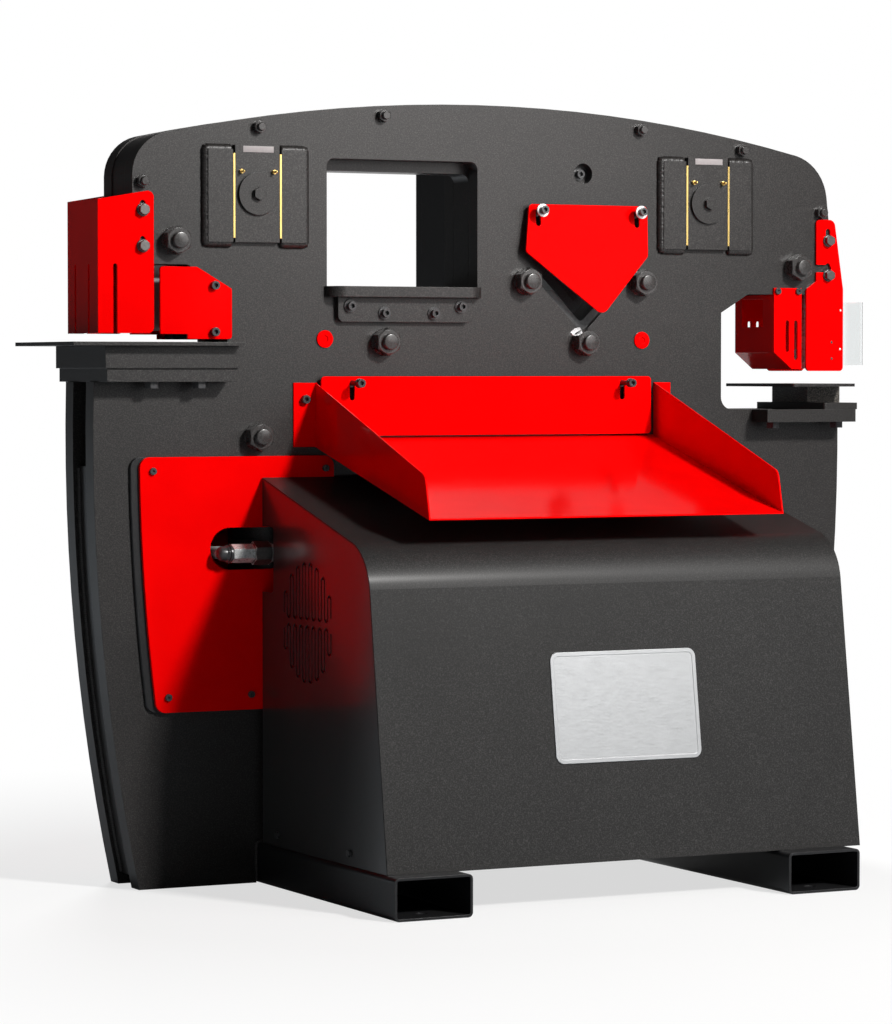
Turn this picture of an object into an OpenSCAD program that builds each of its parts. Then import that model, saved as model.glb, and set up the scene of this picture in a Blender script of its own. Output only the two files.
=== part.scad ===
// Hydraulic ironworker with notcher, tool window, angle shear, plate shear and punch stations.
// Two thick side plates hold a sliding beam between them; every station works off that beam.
// X runs to the right, Y to the back and Z up; the origin is on the floor amid the four anchors.

/* [Frame] */
// Half of the greatest width of the side plates
half_width = 800; // [780:5:830]
// Height of the side plates at the top of the arch
frame_height = 1462; // [1450:2:1480]
// Thickness of each side plate
plate_thickness = 38; // [32:1:42]
// Gap between the two side plates
plate_gap = 64; // [60:1:72]
// Radius of the arched top edge
arch_radius = 3140; // [2900:20:3600]
// Radius of the bowed side edges
side_radius = 3960; // [3700:20:4400]
// Height at which the sides bow out the most
side_bow_height = 830; // [800:5:860]
// Radius of the right top corner
right_corner_radius = 95; // [75:1:105]
// Radius of the left top corner
left_corner_radius = 80; // [60:1:90]
// Reach of the upper left jaw from the middle
left_jaw_reach = 722; // [716:1:732]

/* [Feet] */
// Distance between the middles of the two foot tubes
foot_spacing = 800; // [760:5:820]
// Outside width of a foot tube
foot_width = 152.4; // [140:0.2:160]
// Outside height of a foot tube
foot_height = 76.2; // [70:0.2:80]
// Wall of a foot tube
foot_wall = 4.8; // [4:0.1:6]
// Outside corner radius of a foot tube
foot_corner = 9; // [8:1:14]
// Length of foot tube in front of the frame
foot_front = 590; // [560:5:640]
// Length of foot tube behind the frame
foot_rear = 260; // [220:5:320]
// Diameter of an anchor hole in the floor of a foot tube
anchor_hole = 22; // [16:1:26]
// Distance of an anchor hole from the tube's end
anchor_inset = 50; // [40:1:70]

/* [Beam and guides] */
// Working stroke of the beam
stroke = 32; // [26:1:34]
// Place of the left guide, from the middle
guide_left = 477; // [472:1:482]
// Place of the right guide, from the middle
guide_right = 490; // [485:1:494]
// Height of the guide pins above the floor
guide_height = 1283; // [1278:1:1288]
// Width of a slide block
slide_width = 90; // [84:1:94]
// Height of a slide block
slide_height = 180; // [170:1:184]
// How far slide and gib blocks stand proud of a side plate
slide_proud = 12; // [10:1:16]
// Width of a gib block
gib_width = 50; // [44:1:54]
// Thickness of a brass wear strip
brass_thickness = 4; // [3:0.5:5]
// Diameter of a guide pin
guide_pin = 60; // [50:1:64]
// Diameter of the disc that holds a slide block on its pin
retainer_diameter = 79; // [74:1:82]

/* [Tool window] */
// Distance of the window's left edge from the middle
window_left = 330; // [324:1:334]
// Width of the tool window
window_width = 317; // [305:1:320]
// Height of the window's top edge above the floor
window_top = 1353; // [1346:1:1358]
// Height of the tool table's top above the floor
tool_table_top = 1114; // [1108:1:1120]
// Thickness of the tool table
tool_table_thickness = 20; // [16:1:24]

/* [Angle shear] */
// Place of the angle shear, from the middle
angle_x = 217; // [214:1:220]
// Height of the middle of the angle shear opening
angle_z = 1127; // [1122:1:1132]
// Half diagonal of the angle shear opening
angle_half = 100; // [94:1:102]
// Upright room between the angle blades
angle_daylight = 40; // [36:1:46]

/* [Plate shear] */
// Distance of the plate shear's left end from the middle
shear_left = 345; // [338:1:348]
// Length of the plate shear
shear_length = 700; // [690:2:704]
// Height of the lower plate blade's edge above the floor
shear_height = 838; // [834:1:842]
// Room between the plate blades
shear_daylight = 28; // [24:1:30]

/* [Punch] */
// Place of the punch, from the middle
punch_x = 768; // [764:1:770]
// Distance of the throat's end from the middle
punch_throat_end = 528; // [522:1:540]
// Height of the punch throat's floor above the floor
punch_throat_floor = 879; // [872:1:884]
// Height of the punch throat's top above the floor
punch_throat_top = 1107; // [1103:1:1110]
// Diameter of the punch's working end
punch_diameter = 22; // [12:1:26]

/* [Notcher] */
// Distance of the notcher throat's end from the middle
notch_throat_end = 600; // [596:1:604]
// Height of the notcher throat's top above the floor
notch_throat_top = 1151; // [1148:1:1154]
// Height of the notcher table's top above the floor
notch_table_top = 1008; // [1004:1:1010]
// Width of the notcher blade
notch_width = 60; // [50:1:64]

/* [Hood and cylinder] */
// Distance of the hood's left side from the middle
hood_left = 470; // [464:1:474]
// Distance of the hood's right side from the middle
hood_right = 503; // [495:1:510]
// Height of the hood's rear edge above the floor
hood_top = 757; // [748:1:762]
// Sheet metal thickness of the hood
hood_sheet = 3; // [2:0.5:4]
// Radius of the bend between the hood's top and front
hood_bend = 100; // [80:1:110]
// Place of the hydraulic cylinder, from the middle
cylinder_x = 420; // [418:1:424]
// Outside diameter of the hydraulic cylinder
cylinder_diameter = 150; // [142:1:152]
// Diameter of the cylinder's rod
rod_diameter = 54; // [50:1:56]

/* [Hidden] */

// Facets of ordinary round shapes and of the large arcs
$fn = 48;
arc_facets = 720;

// Colours as seen on the machine
charcoal = "#4b4846";
black_steel = "#26272a";
red_coat = "#d80a10";
bright_steel = "#c4c6c8";
zinc_steel = "#9a9ca0";
brass_gold = "#d2ab4c";
clear_sheet = [0.85, 0.9, 0.92, 0.4];

// Overrun of every cut, fits and clearances
overrun = 2;
run_fit = 0.05;
press_fit = 0.05;
slide_gap = 0.4;
weld_gap = 0.2;
beam_gap = 0.75;
sleeve_gap = 3;
travel_margin = 2;
blade_gap = 0.6;
bore_slack = 0.3;
trim_share = 0.4;
trim_over = 0.02;

// Depths through the frame, measured from the front face of the front plate
frame_thickness = 2 * plate_thickness + plate_gap;
mid_y = frame_thickness / 2;
gap_front = plate_thickness;
gap_rear = plate_thickness + plate_gap;
face_y = (foot_front - frame_thickness - foot_rear) / 2;
reach_x = 2 * half_width;

// Fasteners
tie_bolt = 30;
tie_sleeve = 38;
tie_nut_flats = 46;
tie_nut_height = 24;
tie_washer = 50;
tie_washer_height = 4;
tie_end = 10;
stud_diameter = 16;
stud_sleeve = 26;
stud_nut_flats = 22;
stud_nut_height = 13;
stud_end = 7;
stud_inset = 19;
hole_slack = 0.25;
cap_head = 16;
cap_head_height = 10;
cap_shank = 10;
cap_washer = 25;
cap_washer_height = 2.5;
cap_socket_flats = 8;
cap_socket_depth = 6;
button_head = 13;
button_head_height = 5;
button_shank = 7;
button_socket_flats = 4.5;
button_socket_depth = 3;
hex_flats = 18;
hex_height = 9;
hex_flange = 24;
hex_flange_height = 3;
hex_shank = 10;

// Places of the tie bolts, from the stations that they clamp
angle_bolt_reach = 127;
angle_bolt_drop = 117;
window_bolt_share = 0.37;
jaw_bolt_in = 40;
jaw_bolt_up = 44;
punch_bolt_in = 69;
punch_bolt_up = 54;
rod_bolt_in = 55;
rod_bolt_up = 36;
arch_stud_shares = [-0.5875, -0.2675, 0.429, 0.715];
left_stud_share = 0.8906;
right_stud_share = 0.8694;

// Top cover strip and spacers between the plates
cover_strip = 3;
strip_inset = 2;
strip_end_up = 40;
spacer_inset = 12;
spacer_width = 30;
spacer_foot = 20;
spacer_head_left = 780;
spacer_head_right = 840;
base_bar_height = 40;
base_bar_half = 680;

// Tool window details
window_corner = 15;
window_side_fit = 0.5;
table_lip = 31;
table_corner_share = 0.97;
table_side_lip = 4;
bracket_proud = 12;
bracket_inset = 18;
bracket_drop = 47;
bracket_corner = 12;
tool_edge_drop = 21;
bracket_screw_shares = [0.34, 0.71];
bracket_screw_up = 17;
clamp_screw_inset = 24;
clamp_screw_drop = 17;

// Angle shear details
angle_corner = 8;
blade_band = 16;
angle_blade_depth = 26;
angle_blade_front = 10;
adjuster_bore = 40;
adjuster_depth = 20;
adjuster_up = 209;

// Plate shear details
shear_slot_low = 18;
shear_slot_high = 42;
blade_height = 50;
blade_thickness = 25;
bed_depth = 88;
bed_taper = 60;

// Plugged holes beside the lower tool row
plug_diameter = 30;
plug_proud = 3;
plug_seat = 12;
plug_socket = 12;
plug_socket_depth = 2;
plug_drop = 112;
plug_left_in = 5;
plug_right_out = 130;

// Beam outline
beam_top_inset = 60;
beam_left = 680;
beam_right_shoulder = 690;
beam_right_slope = 740;
beam_shoulder_drop = 132;
beam_nose_drop = 222;
beam_nose_out = 28;
beam_arm_drop = 1;
punch_arm_up = 8;
punch_arm_in = 106;
arm_underside_up = 58;
beam_body_right = 395;
beam_body_left = 480;
rod_seat_height = 960;

// Guide details
gib_short = 8;
brass_short = 8;
retainer_height = 6;
retainer_bolt_flats = 22;
retainer_bolt_height = 9;
zerk_reach = 33;
zerk_up = 41;
zerk_base = 8;
zerk_base_height = 5;
zerk_neck = 5;
zerk_length = 12;
zerk_ball = 6;

// Notcher details
support_right = 534;
support_left = 797;
support_front = 55;
support_height = 41;
support_step = 25;
support_step_inset = 5;
notch_table_thickness = 7;
notch_table_left = 868;
notch_table_right = 532;
notch_table_front = 80;
notch_throat_corner = 18;
notch_slot = 6;
notch_die_margin = 14;
notch_die_depth = 50;
notch_blade_depth = 50;
notch_daylight = 22;
notch_blade_in = 15;
clamp_bolt_shares = [0.38, 0.74];
clamp_bolt_length = 12;
clamp_bolt_flats = 24;
clamp_bolt_out = 30;

// Guard sheet metal and its places
guard_sheet = 5;
guard_stand = 1;
guard_gap = 0.3;
notch_guard_left = 792;
notch_guard_right = 682;
notch_guard_low = 1024;
notch_guard_high_left = 1268;
notch_guard_high_right = 1287;
notch_guard_corner = 12;
notch_guard_travel = 12;
notch_guard_bolt_x = 704;
notch_guard_bolt_low = 1184;
notch_guard_bolt_high = 1250;
sight_slot_width = 8;
sight_slot_length = 123;
sight_slot_in = 34;
side_sight_shares = [0.3, 0.74];
inner_guard_left = 669;
inner_guard_right = 526;
inner_guard_low = 1014;
inner_guard_high = 1147;
inner_guard_chamfer_x = 70;
inner_guard_chamfer_z = 40;
inner_guard_step_x = 54;
inner_guard_step_z = 9;
inner_guard_screw_in = 36;
inner_guard_screw_shares = [0.1, 0.745];
inner_guard_corner = 6;

// Punch station details
throat_chamfer_x = 62;
throat_chamfer_z = 37;
throat_corner = 25;
punch_bracket_left = 599;
punch_bracket_right = 804;
punch_bracket_proud = 60;
punch_bracket_height = 25;
punch_base_left = 730;
punch_base_right = 810;
punch_base_thickness = 13;
die_holder_left = 730;
die_holder_right = 806;
die_holder_half_depth = 67;
die_holder_height = 32;
die_diameter = 60;
die_slack = 0.4;
slug_bore = 34;
punch_table_left = 657;
punch_table_right = 804;
punch_table_over = 61;
punch_table_thickness = 6;
punch_table_corner = 6;
ram_diameter = 56;
ram_length = 80;
coupling_diameter = 70;
coupling_length = 36;
punch_body = 32;
punch_daylight = 30;
punch_taper = 12;
bracket_bolt_shares = [0.15, 0.87];

// Punch guards
punch_inner_left = 647;
punch_inner_right = 711;
punch_inner_low = 959;
punch_inner_high = 1120;
punch_inner_chamfer_x = 41;
punch_inner_chamfer_z = 33;
punch_inner_screw_in = 8;
punch_inner_slot_shares = [[0.484, 0.21, 0.6], [0.797, 0.11, 0.6]];
punch_inner_window_low = 84;
punch_inner_window_height = 55;
punch_inner_window_front = 38;
punch_inner_window_depth = 80;
punch_guard_left = 722;
punch_guard_right = 808;
punch_guard_low = 955;
punch_guard_shoulder = 1118;
punch_guard_neck_left = 745;
punch_guard_neck_right = 787;
punch_guard_high = 1257;
punch_guard_corner = 8;
punch_guard_top_corner = 14;
punch_guard_slope = 16;
punch_guard_travel = 19;
punch_guard_bolt_x = 772;
punch_guard_bolt_low = 1146;
punch_guard_bolt_high = 1215;
hook_cut_low = 1152;
hook_cut_high = 1167;
shield_right = 862;
shield_left = 770;
shield_low = 967;
shield_high = 1093;
shield_sheet = 3;
shield_bend = 9;

// Angle guard
angle_guard_points_left = 92;
angle_guard_points_right = 352;
angle_guard_high = 1275;
angle_guard_hip_left = 80;
angle_guard_hip_right = 348;
angle_guard_hip_left_z = 1183;
angle_guard_hip_right_z = 1177;
angle_guard_tip_x = 242;
angle_guard_tip_z = 1061;
angle_guard_corner = 8;
angle_guard_tip_corner = 16;
angle_guard_sheet = 4;
angle_guard_stand = 10;
angle_guard_tilt = 6;
angle_guard_travel = 22;
angle_post_left = 18;
angle_post_right = 25;
angle_post_drop = 15;
angle_screw_reach = 19;

// Plate guard
plate_guard_left = 348;
plate_guard_right = 361;
plate_guard_low = 833;
plate_guard_high = 945;
plate_guard_sheet = 4;
plate_guard_stand = 10;
plate_guard_travel = 27;
plate_post_in = 64;
plate_post_drop = 13;
plate_screw_reach = 30;
plate_screw_washer = 18;
post_diameter = 16;

// Tray below the plate shear
tray_left = 355;
tray_right = 377;
tray_tab_left = 45;
tray_tab_right = 34;
tray_sheet = 3;
tray_tab_low = 813;
tray_back_low = 828;
tray_back_high = 933;
tray_front = 481;
tray_front_low = 691;
tray_front_high = 770;
tray_front_lean = 18;
tray_lip_corner = 20;
tray_tab_screw_drop = 31;

// Hood profile
hood_gap = 16;
hood_corner_front = 470;
hood_corner_height = 635;
hood_foot_front = 549;
vent_middle = 215;
vent_height = 498;
vent_radius = 108;
vent_count = 8;
vent_slot = 4.6;
vent_bridge = 14;
notch_depth = 49;
notch_low = 545;
notch_high = 667;
notch_corner = 8;
hood_screw_shares = [0.155, 0.72];
hood_screw_up = 22;

// Cylinder, its covers and its port
barrel_low = 400;
barrel_high = 770;
barrel_wall = 15;
barrel_base = 30;
gland_height = 35;
piston_height = 50;
piston_top = 728;
lug_width = 60;
lug_drop = 60;
lug_pin = 40;
lug_pin_up = 30;
cylinder_opening_side = 10;
port_opening_left = 596;
cylinder_opening_low = 396;
cylinder_opening_high = 776;
cover_inset = 86;
cover_right = 322;
cover_low = 326;
cover_high = 797;
cover_proud = 13;
cover_sheet = 3;
cover_corner = 20;
cover_screw_shares = [[0.064, 0.945], [0.071, 0.06], [0.53, 0.06], [0.955, 0.95]];
cover_slot_left = 535;
cover_slot_right = 455;
cover_slot_height = 78;
cover_slot_up = 8;
port_height = 618;
port_depth_in = 30;
port_tube = 22;
port_turn_x = 556;
port_out = 35;
port_boss = 44;
port_boss_out = 10;
adapter_end = 499;
adapter_flats = 30;
nut_end = 466;
nut_flats = 38;
collar_end = 450;
collar_diameter = 32;
hose_diameter = 28;

// Power unit under the hood
tank_half = 440;
tank_front = 440;
tank_back = 22;
tank_height = 250;
tank_corner = 20;
tank_wall = 4;
suction_hole = 30;
motor_middle = 230;
motor_left = 120;
motor_length = 290;
motor_diameter = 190;
motor_wall = 12;
motor_foot = 16;
motor_foot_half = 70;
shaft_diameter = 28;
shaft_out = 46;
fan_diameter = 150;
fan_thickness = 14;
fan_gap = 12;
coupling_half = 34;
pump_diameter = 110;
pump_length = 120;
pump_foot_half = 40;
valve_left = 330;
valve_right = 252;
valve_front = 84;
valve_head = 40;
coil_diameter = 40;
coil_length = 52;

// Stroke switch box behind the frame
switch_box_width = 63;
switch_box_in = 1;
switch_box_depth = 111;
switch_lid_depth = 24;
switch_box_low = 1070;
switch_box_high = 1400;
switch_box_wall = 3;
switch_box_corner = 8;

// Worked out from the sizes above
guide_places = [-guide_left, guide_right];
window_right = window_width - window_left;
window_floor = tool_table_top - tool_table_thickness;
support_top = notch_table_top - notch_table_thickness;
support_floor = support_top - support_height - support_step;
notch_x0 = -notch_throat_end - notch_blade_in - notch_width;
notch_x1 = -notch_throat_end - notch_blade_in;
notch_die_x0 = notch_x0 - notch_die_margin;
notch_die_x1 = notch_x1 + notch_die_margin;
notch_y0 = mid_y - notch_blade_depth / 2;
notch_y1 = mid_y + notch_blade_depth / 2;
notch_die_y0 = notch_y0 - notch_die_margin;
notch_die_y1 = notch_y1 + notch_die_margin;
bed_top = shear_height - blade_height;
beam_floor = shear_height + shear_daylight + blade_height;
left_arm_floor = notch_throat_top - beam_arm_drop;
punch_arm_floor = punch_throat_top + punch_arm_up;
arm_underside = punch_throat_top + arm_underside_up;
punch_table_top = punch_throat_floor + punch_base_thickness + die_holder_height
  + punch_table_thickness;
die_top = punch_table_top;
arch_middle = [0, frame_height - arch_radius];
left_side_middle = [side_radius - half_width, side_bow_height];
right_side_middle = [half_width - side_radius, side_bow_height];
pump_start = motor_length - motor_left + shaft_out + slide_gap;
motor_axis_z = foot_height + tank_height + motor_foot + motor_diameter / 2;
jaw_bolt = [-notch_throat_end - jaw_bolt_in, notch_throat_top + jaw_bolt_up];
punch_bolt = [punch_x - punch_bolt_in, punch_throat_top + punch_bolt_up];
rod_bolt = [-cylinder_x - rod_bolt_in, cover_high + rod_bolt_up];
window_bolt = [-window_left + window_width * window_bolt_share, angle_z - angle_bolt_drop];
angle_bolts = [
  [angle_x - angle_bolt_reach, angle_z],
  [angle_x + angle_bolt_reach, angle_z],
  [angle_x, angle_z - angle_bolt_drop]
];
tie_places = concat([jaw_bolt, punch_bolt, rod_bolt, window_bolt], angle_bolts);
stud_places = concat(
  [[-left_jaw_reach + stud_inset, left_stud_share * frame_height]],
  [for (s = arch_stud_shares) [s * half_width, arch_z(s * half_width) - stud_inset]],
  [[side_x(right_stud_share * frame_height) - stud_inset, right_stud_share * frame_height]]
);
plug_places = [
  [-window_left - plug_left_in, angle_z - plug_drop],
  [angle_x + plug_right_out, angle_z - plug_drop]
];

// Height of the arch at a place across, and half width of the frame at a height
function arch_z(x) = arch_middle.y + sqrt(arch_radius * arch_radius - x * x);
function side_x(z) = half_width - side_radius
  + sqrt(side_radius * side_radius - (z - side_bow_height) * (z - side_bow_height));
function unit(v) = v / norm(v);
// The meeting point, on the left of the line from a to b, of two circles
function circles_meet(a, ra, b, rb) =
  let (d = norm(b - a), u = (b - a) / d, s = (ra * ra - rb * rb + d * d) / (2 * d))
  a + u * s + [-u.y, u.x] * sqrt(ra * ra - s * s);
// The point on a circle about c that lies beyond p
function on_circle(c, r, p) = c + unit(p - c) * r;
// A corner moved inwards so that both of its edges move by t
function inset_corner(a, b, c, t) =
  let (da = unit(a - b), db = unit(c - b)) b + (da + db) * t / sin(acos(da * db));

function inner_guard_row(share) = inner_guard_low + share * (inner_guard_high - inner_guard_low);

// Placing helpers
module on_frame() translate([0, face_y, 0]) children();
module along_y(y, t) translate([0, y + t, 0]) rotate([90, 0, 0]) linear_extrude(t) children();
module along_x(x, t) translate([x, 0, 0]) rotate([90, 0, 90]) linear_extrude(t) children();
module along_z(z, t) translate([0, 0, z]) linear_extrude(t) children();
module both_faces() {
  children();
  translate([0, frame_thickness, 0]) mirror([0, 1, 0]) children();
}
module rod_y(x, z, y0, y1, d) translate([x, y0, z]) rotate([-90, 0, 0]) cylinder(d = d, h = y1 - y0);
module rod_x(y, z, x0, x1, d) translate([x0, y, z]) rotate([0, 90, 0]) cylinder(d = d, h = x1 - x0);
module hex_y(x, z, y0, y1, flats)
  translate([x, y0, z]) rotate([-90, 30, 0]) cylinder(d = flats / cos(30), h = y1 - y0, $fn = 6);
module hex_x(y, z, x0, x1, flats)
  translate([x0, y, z]) rotate([0, 90, 0]) cylinder(d = flats / cos(30), h = x1 - x0, $fn = 6);
module block(low, high) translate(low) cube(high - low);

// Flat shapes
module area(low, high) translate(low) square(high - low);
module arc_trim(centre, r, t1, t2) {
  difference() {
    polygon([t1, centre + (t1 + t2 - 2 * centre) * (1 + trim_share), t2, centre]);
    translate(centre) circle(r + trim_over);
  }
}
module corner_trim(v, a, b, r) {
  da = unit(a - v);
  db = unit(b - v);
  half = acos(da * db) / 2;
  centre = v + unit(da + db) * r / sin(half);
  difference() {
    polygon([v + da * r / tan(half), v + (v - centre) * trim_share, v + db * r / tan(half), centre]);
    translate(centre) circle(r + trim_over);
  }
}
module rounded(points, radii) {
  n = len(points);
  difference() {
    polygon(points);
    for (i = [0 : n - 1])
      if (radii[i] > 0) corner_trim(points[i], points[(i + n - 1) % n], points[(i + 1) % n], radii[i]);
  }
}
module rounded_area(low, high, r)
  rounded([low, [high.x, low.y], high, [low.x, high.y]], [r, r, r, r]);
module upright_slot(x, z0, z1, width) {
  translate([x, z0]) circle(d = width);
  translate([x, z1]) circle(d = width);
  translate([x - width / 2, z0]) square([width, z1 - z0]);
}
module level_slot(x0, x1, z, height) {
  translate([x0, z]) circle(d = height);
  translate([x1, z]) circle(d = height);
  translate([x0, z - height / 2]) square([x1 - x0, height]);
}

// Fasteners whose head stands on the plane y and points to the front
module cap_screw(x, z, y, length) {
  difference() {
    union() {
      rod_y(x, z, y - cap_head_height, y, cap_head);
      rod_y(x, z, y, y + length, cap_shank);
    }
    hex_y(x, z, y - cap_head_height - overrun, y - cap_head_height + cap_socket_depth, cap_socket_flats);
  }
}
module washered_cap_screw(x, z, y, length, washer) {
  cap_screw(x, z, y - cap_washer_height, length + cap_washer_height);
  difference() {
    rod_y(x, z, y - cap_washer_height, y, washer);
    rod_y(x, z, y - cap_washer_height - overrun, y + overrun, cap_shank);
  }
}
module button_screw(x, z, y, length) {
  difference() {
    union() {
      rod_y(x, z, y - button_head_height, y, button_head);
      rod_y(x, z, y, y + length, button_shank);
    }
    hex_y(x, z, y - button_head_height - overrun, y - button_head_height + button_socket_depth,
      button_socket_flats);
  }
}
module hex_screw(x, z, y, length) {
  hex_y(x, z, y - hex_flange_height - hex_height, y - hex_flange_height, hex_flats);
  rod_y(x, z, y - hex_flange_height, y, hex_flange);
  rod_y(x, z, y, y + length, hex_shank);
}

// Side plates
module frame_outline(t) {
  right_centre = circles_meet(right_side_middle, side_radius - right_corner_radius,
    arch_middle, arch_radius - right_corner_radius);
  left_x = -left_jaw_reach + left_corner_radius;
  left_run = arch_radius - left_corner_radius;
  left_centre = [left_x, arch_middle.y + sqrt(left_run * left_run - left_x * left_x)];
  difference() {
    intersection() {
      area([-reach_x, 0], [reach_x, frame_height + overrun]);
      translate(left_side_middle) circle(side_radius - t, $fn = arc_facets);
      translate(right_side_middle) circle(side_radius - t, $fn = arc_facets);
      translate(arch_middle) circle(arch_radius - t, $fn = arc_facets);
    }
    area([-reach_x, notch_throat_top - overrun], [-left_jaw_reach + t, frame_height + overrun]);
    arc_trim(right_centre, right_corner_radius - t,
      on_circle(right_side_middle, side_radius - t, right_centre),
      on_circle(arch_middle, arch_radius - t, right_centre));
    arc_trim(left_centre, left_corner_radius - t,
      [-left_jaw_reach + t, left_centre.y],
      on_circle(arch_middle, arch_radius - t, left_centre));
  }
}
module notcher_throat() {
  rounded([[-reach_x, support_floor], [-notch_throat_end, support_floor],
    [-notch_throat_end, notch_throat_top], [-reach_x, notch_throat_top]], [0, 0, notch_throat_corner, 0]);
  area([-reach_x, support_floor], [-support_right, notch_table_top + notch_slot]);
}
module punch_throat() {
  rounded([[punch_throat_end, punch_throat_floor], [reach_x, punch_throat_floor],
    [reach_x, punch_throat_top], [punch_throat_end + throat_chamfer_x, punch_throat_top],
    [punch_throat_end, punch_throat_top - throat_chamfer_z]], [throat_corner, 0, 0, 0, 0]);
}
module diamond(half, r) {
  rounded([[angle_x, angle_z - half], [angle_x + half, angle_z],
    [angle_x, angle_z + half], [angle_x - half, angle_z]], [r, r, r, r]);
}
module window_area(low, high) {
  rounded([[-window_left, low], [window_right, low], [window_right, high], [-window_left, high]],
    [0, 0, window_corner, window_corner]);
}
module plate_profile() {
  difference() {
    frame_outline(0);
    notcher_throat();
    punch_throat();
    window_area(window_floor, window_top);
    diamond(angle_half, angle_corner);
    area([-shear_left, shear_height - shear_slot_low],
      [shear_length - shear_left, shear_height + shear_slot_high]);
    area([-port_opening_left, cylinder_opening_low],
      [-cylinder_x + cylinder_diameter / 2 + cylinder_opening_side, cylinder_opening_high]);
    translate([-cylinder_x, barrel_low - lug_pin_up]) circle(d = lug_pin + 2 * press_fit);
    for (x = guide_places)
      upright_slot(x, guide_height - stroke - travel_margin, guide_height, guide_pin + 2 * travel_margin);
    for (p = tie_places) translate(p) circle(d = tie_bolt + 2 * hole_slack);
    for (p = stud_places) translate(p) circle(d = stud_diameter + 2 * hole_slack);
    for (p = plug_places) translate(p) circle(d = plug_diameter);
    for (side = [-1, 1])
      area([side * foot_spacing / 2 - foot_width / 2 - weld_gap, -overrun],
        [side * foot_spacing / 2 + foot_width / 2 + weld_gap, foot_height + weld_gap]);
  }
}
module front_side_plate() {
  color(charcoal) on_frame() difference() {
    along_y(0, plate_thickness) plate_profile();
    rod_y(angle_x, angle_z + adjuster_up, -overrun, adjuster_depth, adjuster_bore);
  }
}
module rear_side_plate() {
  color(charcoal) on_frame() along_y(gap_rear, plate_thickness) plate_profile();
}
module edge_strip(middle, z1) {
  along_y(gap_front, plate_gap) intersection() {
    difference() {
      translate(middle) circle(side_radius - spacer_inset, $fn = arc_facets);
      translate(middle) circle(side_radius - spacer_inset - spacer_width, $fn = arc_facets);
    }
    area([middle.x > 0 ? -reach_x : 0, spacer_foot], [middle.x > 0 ? 0 : reach_x, z1]);
  }
}
module edge_spacers() {
  color(charcoal) on_frame() {
    edge_strip(left_side_middle, spacer_head_left);
    edge_strip(right_side_middle, spacer_head_right);
    block([-base_bar_half, gap_front, foot_height + weld_gap],
      [base_bar_half, gap_rear, foot_height + weld_gap + base_bar_height]);
  }
}
module lower_bed() {
  color(charcoal) on_frame() along_y(gap_front, plate_gap) polygon([
    [-shear_left, bed_top], [-shear_left + bed_taper, bed_top - bed_depth],
    [shear_length - shear_left - bed_taper, bed_top - bed_depth], [shear_length - shear_left, bed_top]]);
}
module top_cover_strip() {
  left_end = notch_throat_top + strip_end_up;
  right_end = frame_height - beam_nose_drop + travel_margin;
  color(charcoal) on_frame() along_y(gap_front, plate_gap) intersection() {
    difference() {
      frame_outline(strip_inset);
      frame_outline(strip_inset + cover_strip);
    }
    union() {
      area([-reach_x, left_end], [0, frame_height]);
      area([0, right_end], [reach_x, frame_height]);
    }
  }
}
module perimeter_studs() {
  color(black_steel) on_frame() for (p = stud_places) {
    rod_y(p.x, p.y, gap_front, gap_rear, stud_sleeve);
    rod_y(p.x, p.y, -stud_nut_height - stud_end, frame_thickness + stud_nut_height + stud_end, stud_diameter);
    both_faces() hex_y(p.x, p.y, -stud_nut_height, 0, stud_nut_flats);
  }
}
module tie_bolts() {
  color(black_steel) on_frame() for (p = tie_places) {
    rod_y(p.x, p.y, gap_front, gap_rear, tie_sleeve);
    rod_y(p.x, p.y, -tie_washer_height - tie_nut_height - tie_end,
      frame_thickness + tie_washer_height + tie_nut_height + tie_end, tie_bolt);
    both_faces() {
      rod_y(p.x, p.y, -tie_washer_height, 0, tie_washer);
      hex_y(p.x, p.y, -tie_washer_height - tie_nut_height, -tie_washer_height, tie_nut_flats);
    }
  }
}
module hole_plugs() {
  color(red_coat) on_frame() both_faces() for (p = plug_places) difference() {
    union() {
      rod_y(p.x, p.y, 0, plug_seat, plug_diameter - 2 * press_fit);
      rod_y(p.x, p.y, -plug_proud, 0, plug_diameter + plug_proud);
    }
    hex_y(p.x, p.y, -plug_proud - overrun, plug_socket_depth - plug_proud, plug_socket);
  }
}

// Guides on both faces of the frame
module slide_gibs() {
  inner = slide_width / 2 + run_fit + brass_thickness;
  low = guide_height - slide_height / 2;
  color(charcoal) on_frame() both_faces() for (x = guide_places, side = [-1, 1])
    block([x + side * (inner + gib_width / 2) - gib_width / 2, -slide_proud, low],
      [x + side * (inner + gib_width / 2) + gib_width / 2, 0, low + slide_height - gib_short]);
}
module brass_wear_strips() {
  inner = slide_width / 2 + run_fit;
  low = guide_height - slide_height / 2 + brass_short;
  high = guide_height + slide_height / 2 - gib_short - brass_short;
  color(brass_gold) on_frame() both_faces() for (x = guide_places, side = [-1, 1])
    block([x + side * (inner + brass_thickness / 2) - brass_thickness / 2, -slide_proud - 2 * slide_gap, low],
      [x + side * (inner + brass_thickness / 2) + brass_thickness / 2, 0, high]);
}
module guide_pins() {
  color(bright_steel) on_frame() for (x = guide_places)
    rod_y(x, guide_height, -slide_proud, frame_thickness + slide_proud, guide_pin);
}
module slide_blocks() {
  color(charcoal) on_frame() both_faces() for (x = guide_places) difference() {
    block([x - slide_width / 2, -slide_proud, guide_height - slide_height / 2],
      [x + slide_width / 2, -slide_gap, guide_height + slide_height / 2]);
    rod_y(x, guide_height, -slide_proud - overrun, overrun, guide_pin + 2 * press_fit);
  }
}
module slide_retainers() {
  color(charcoal) on_frame() both_faces() for (x = guide_places) {
    rod_y(x, guide_height, -slide_proud - retainer_height, -slide_proud, retainer_diameter);
    hex_y(x, guide_height, -slide_proud - retainer_height - retainer_bolt_height,
      -slide_proud - retainer_height, retainer_bolt_flats);
  }
}
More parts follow.
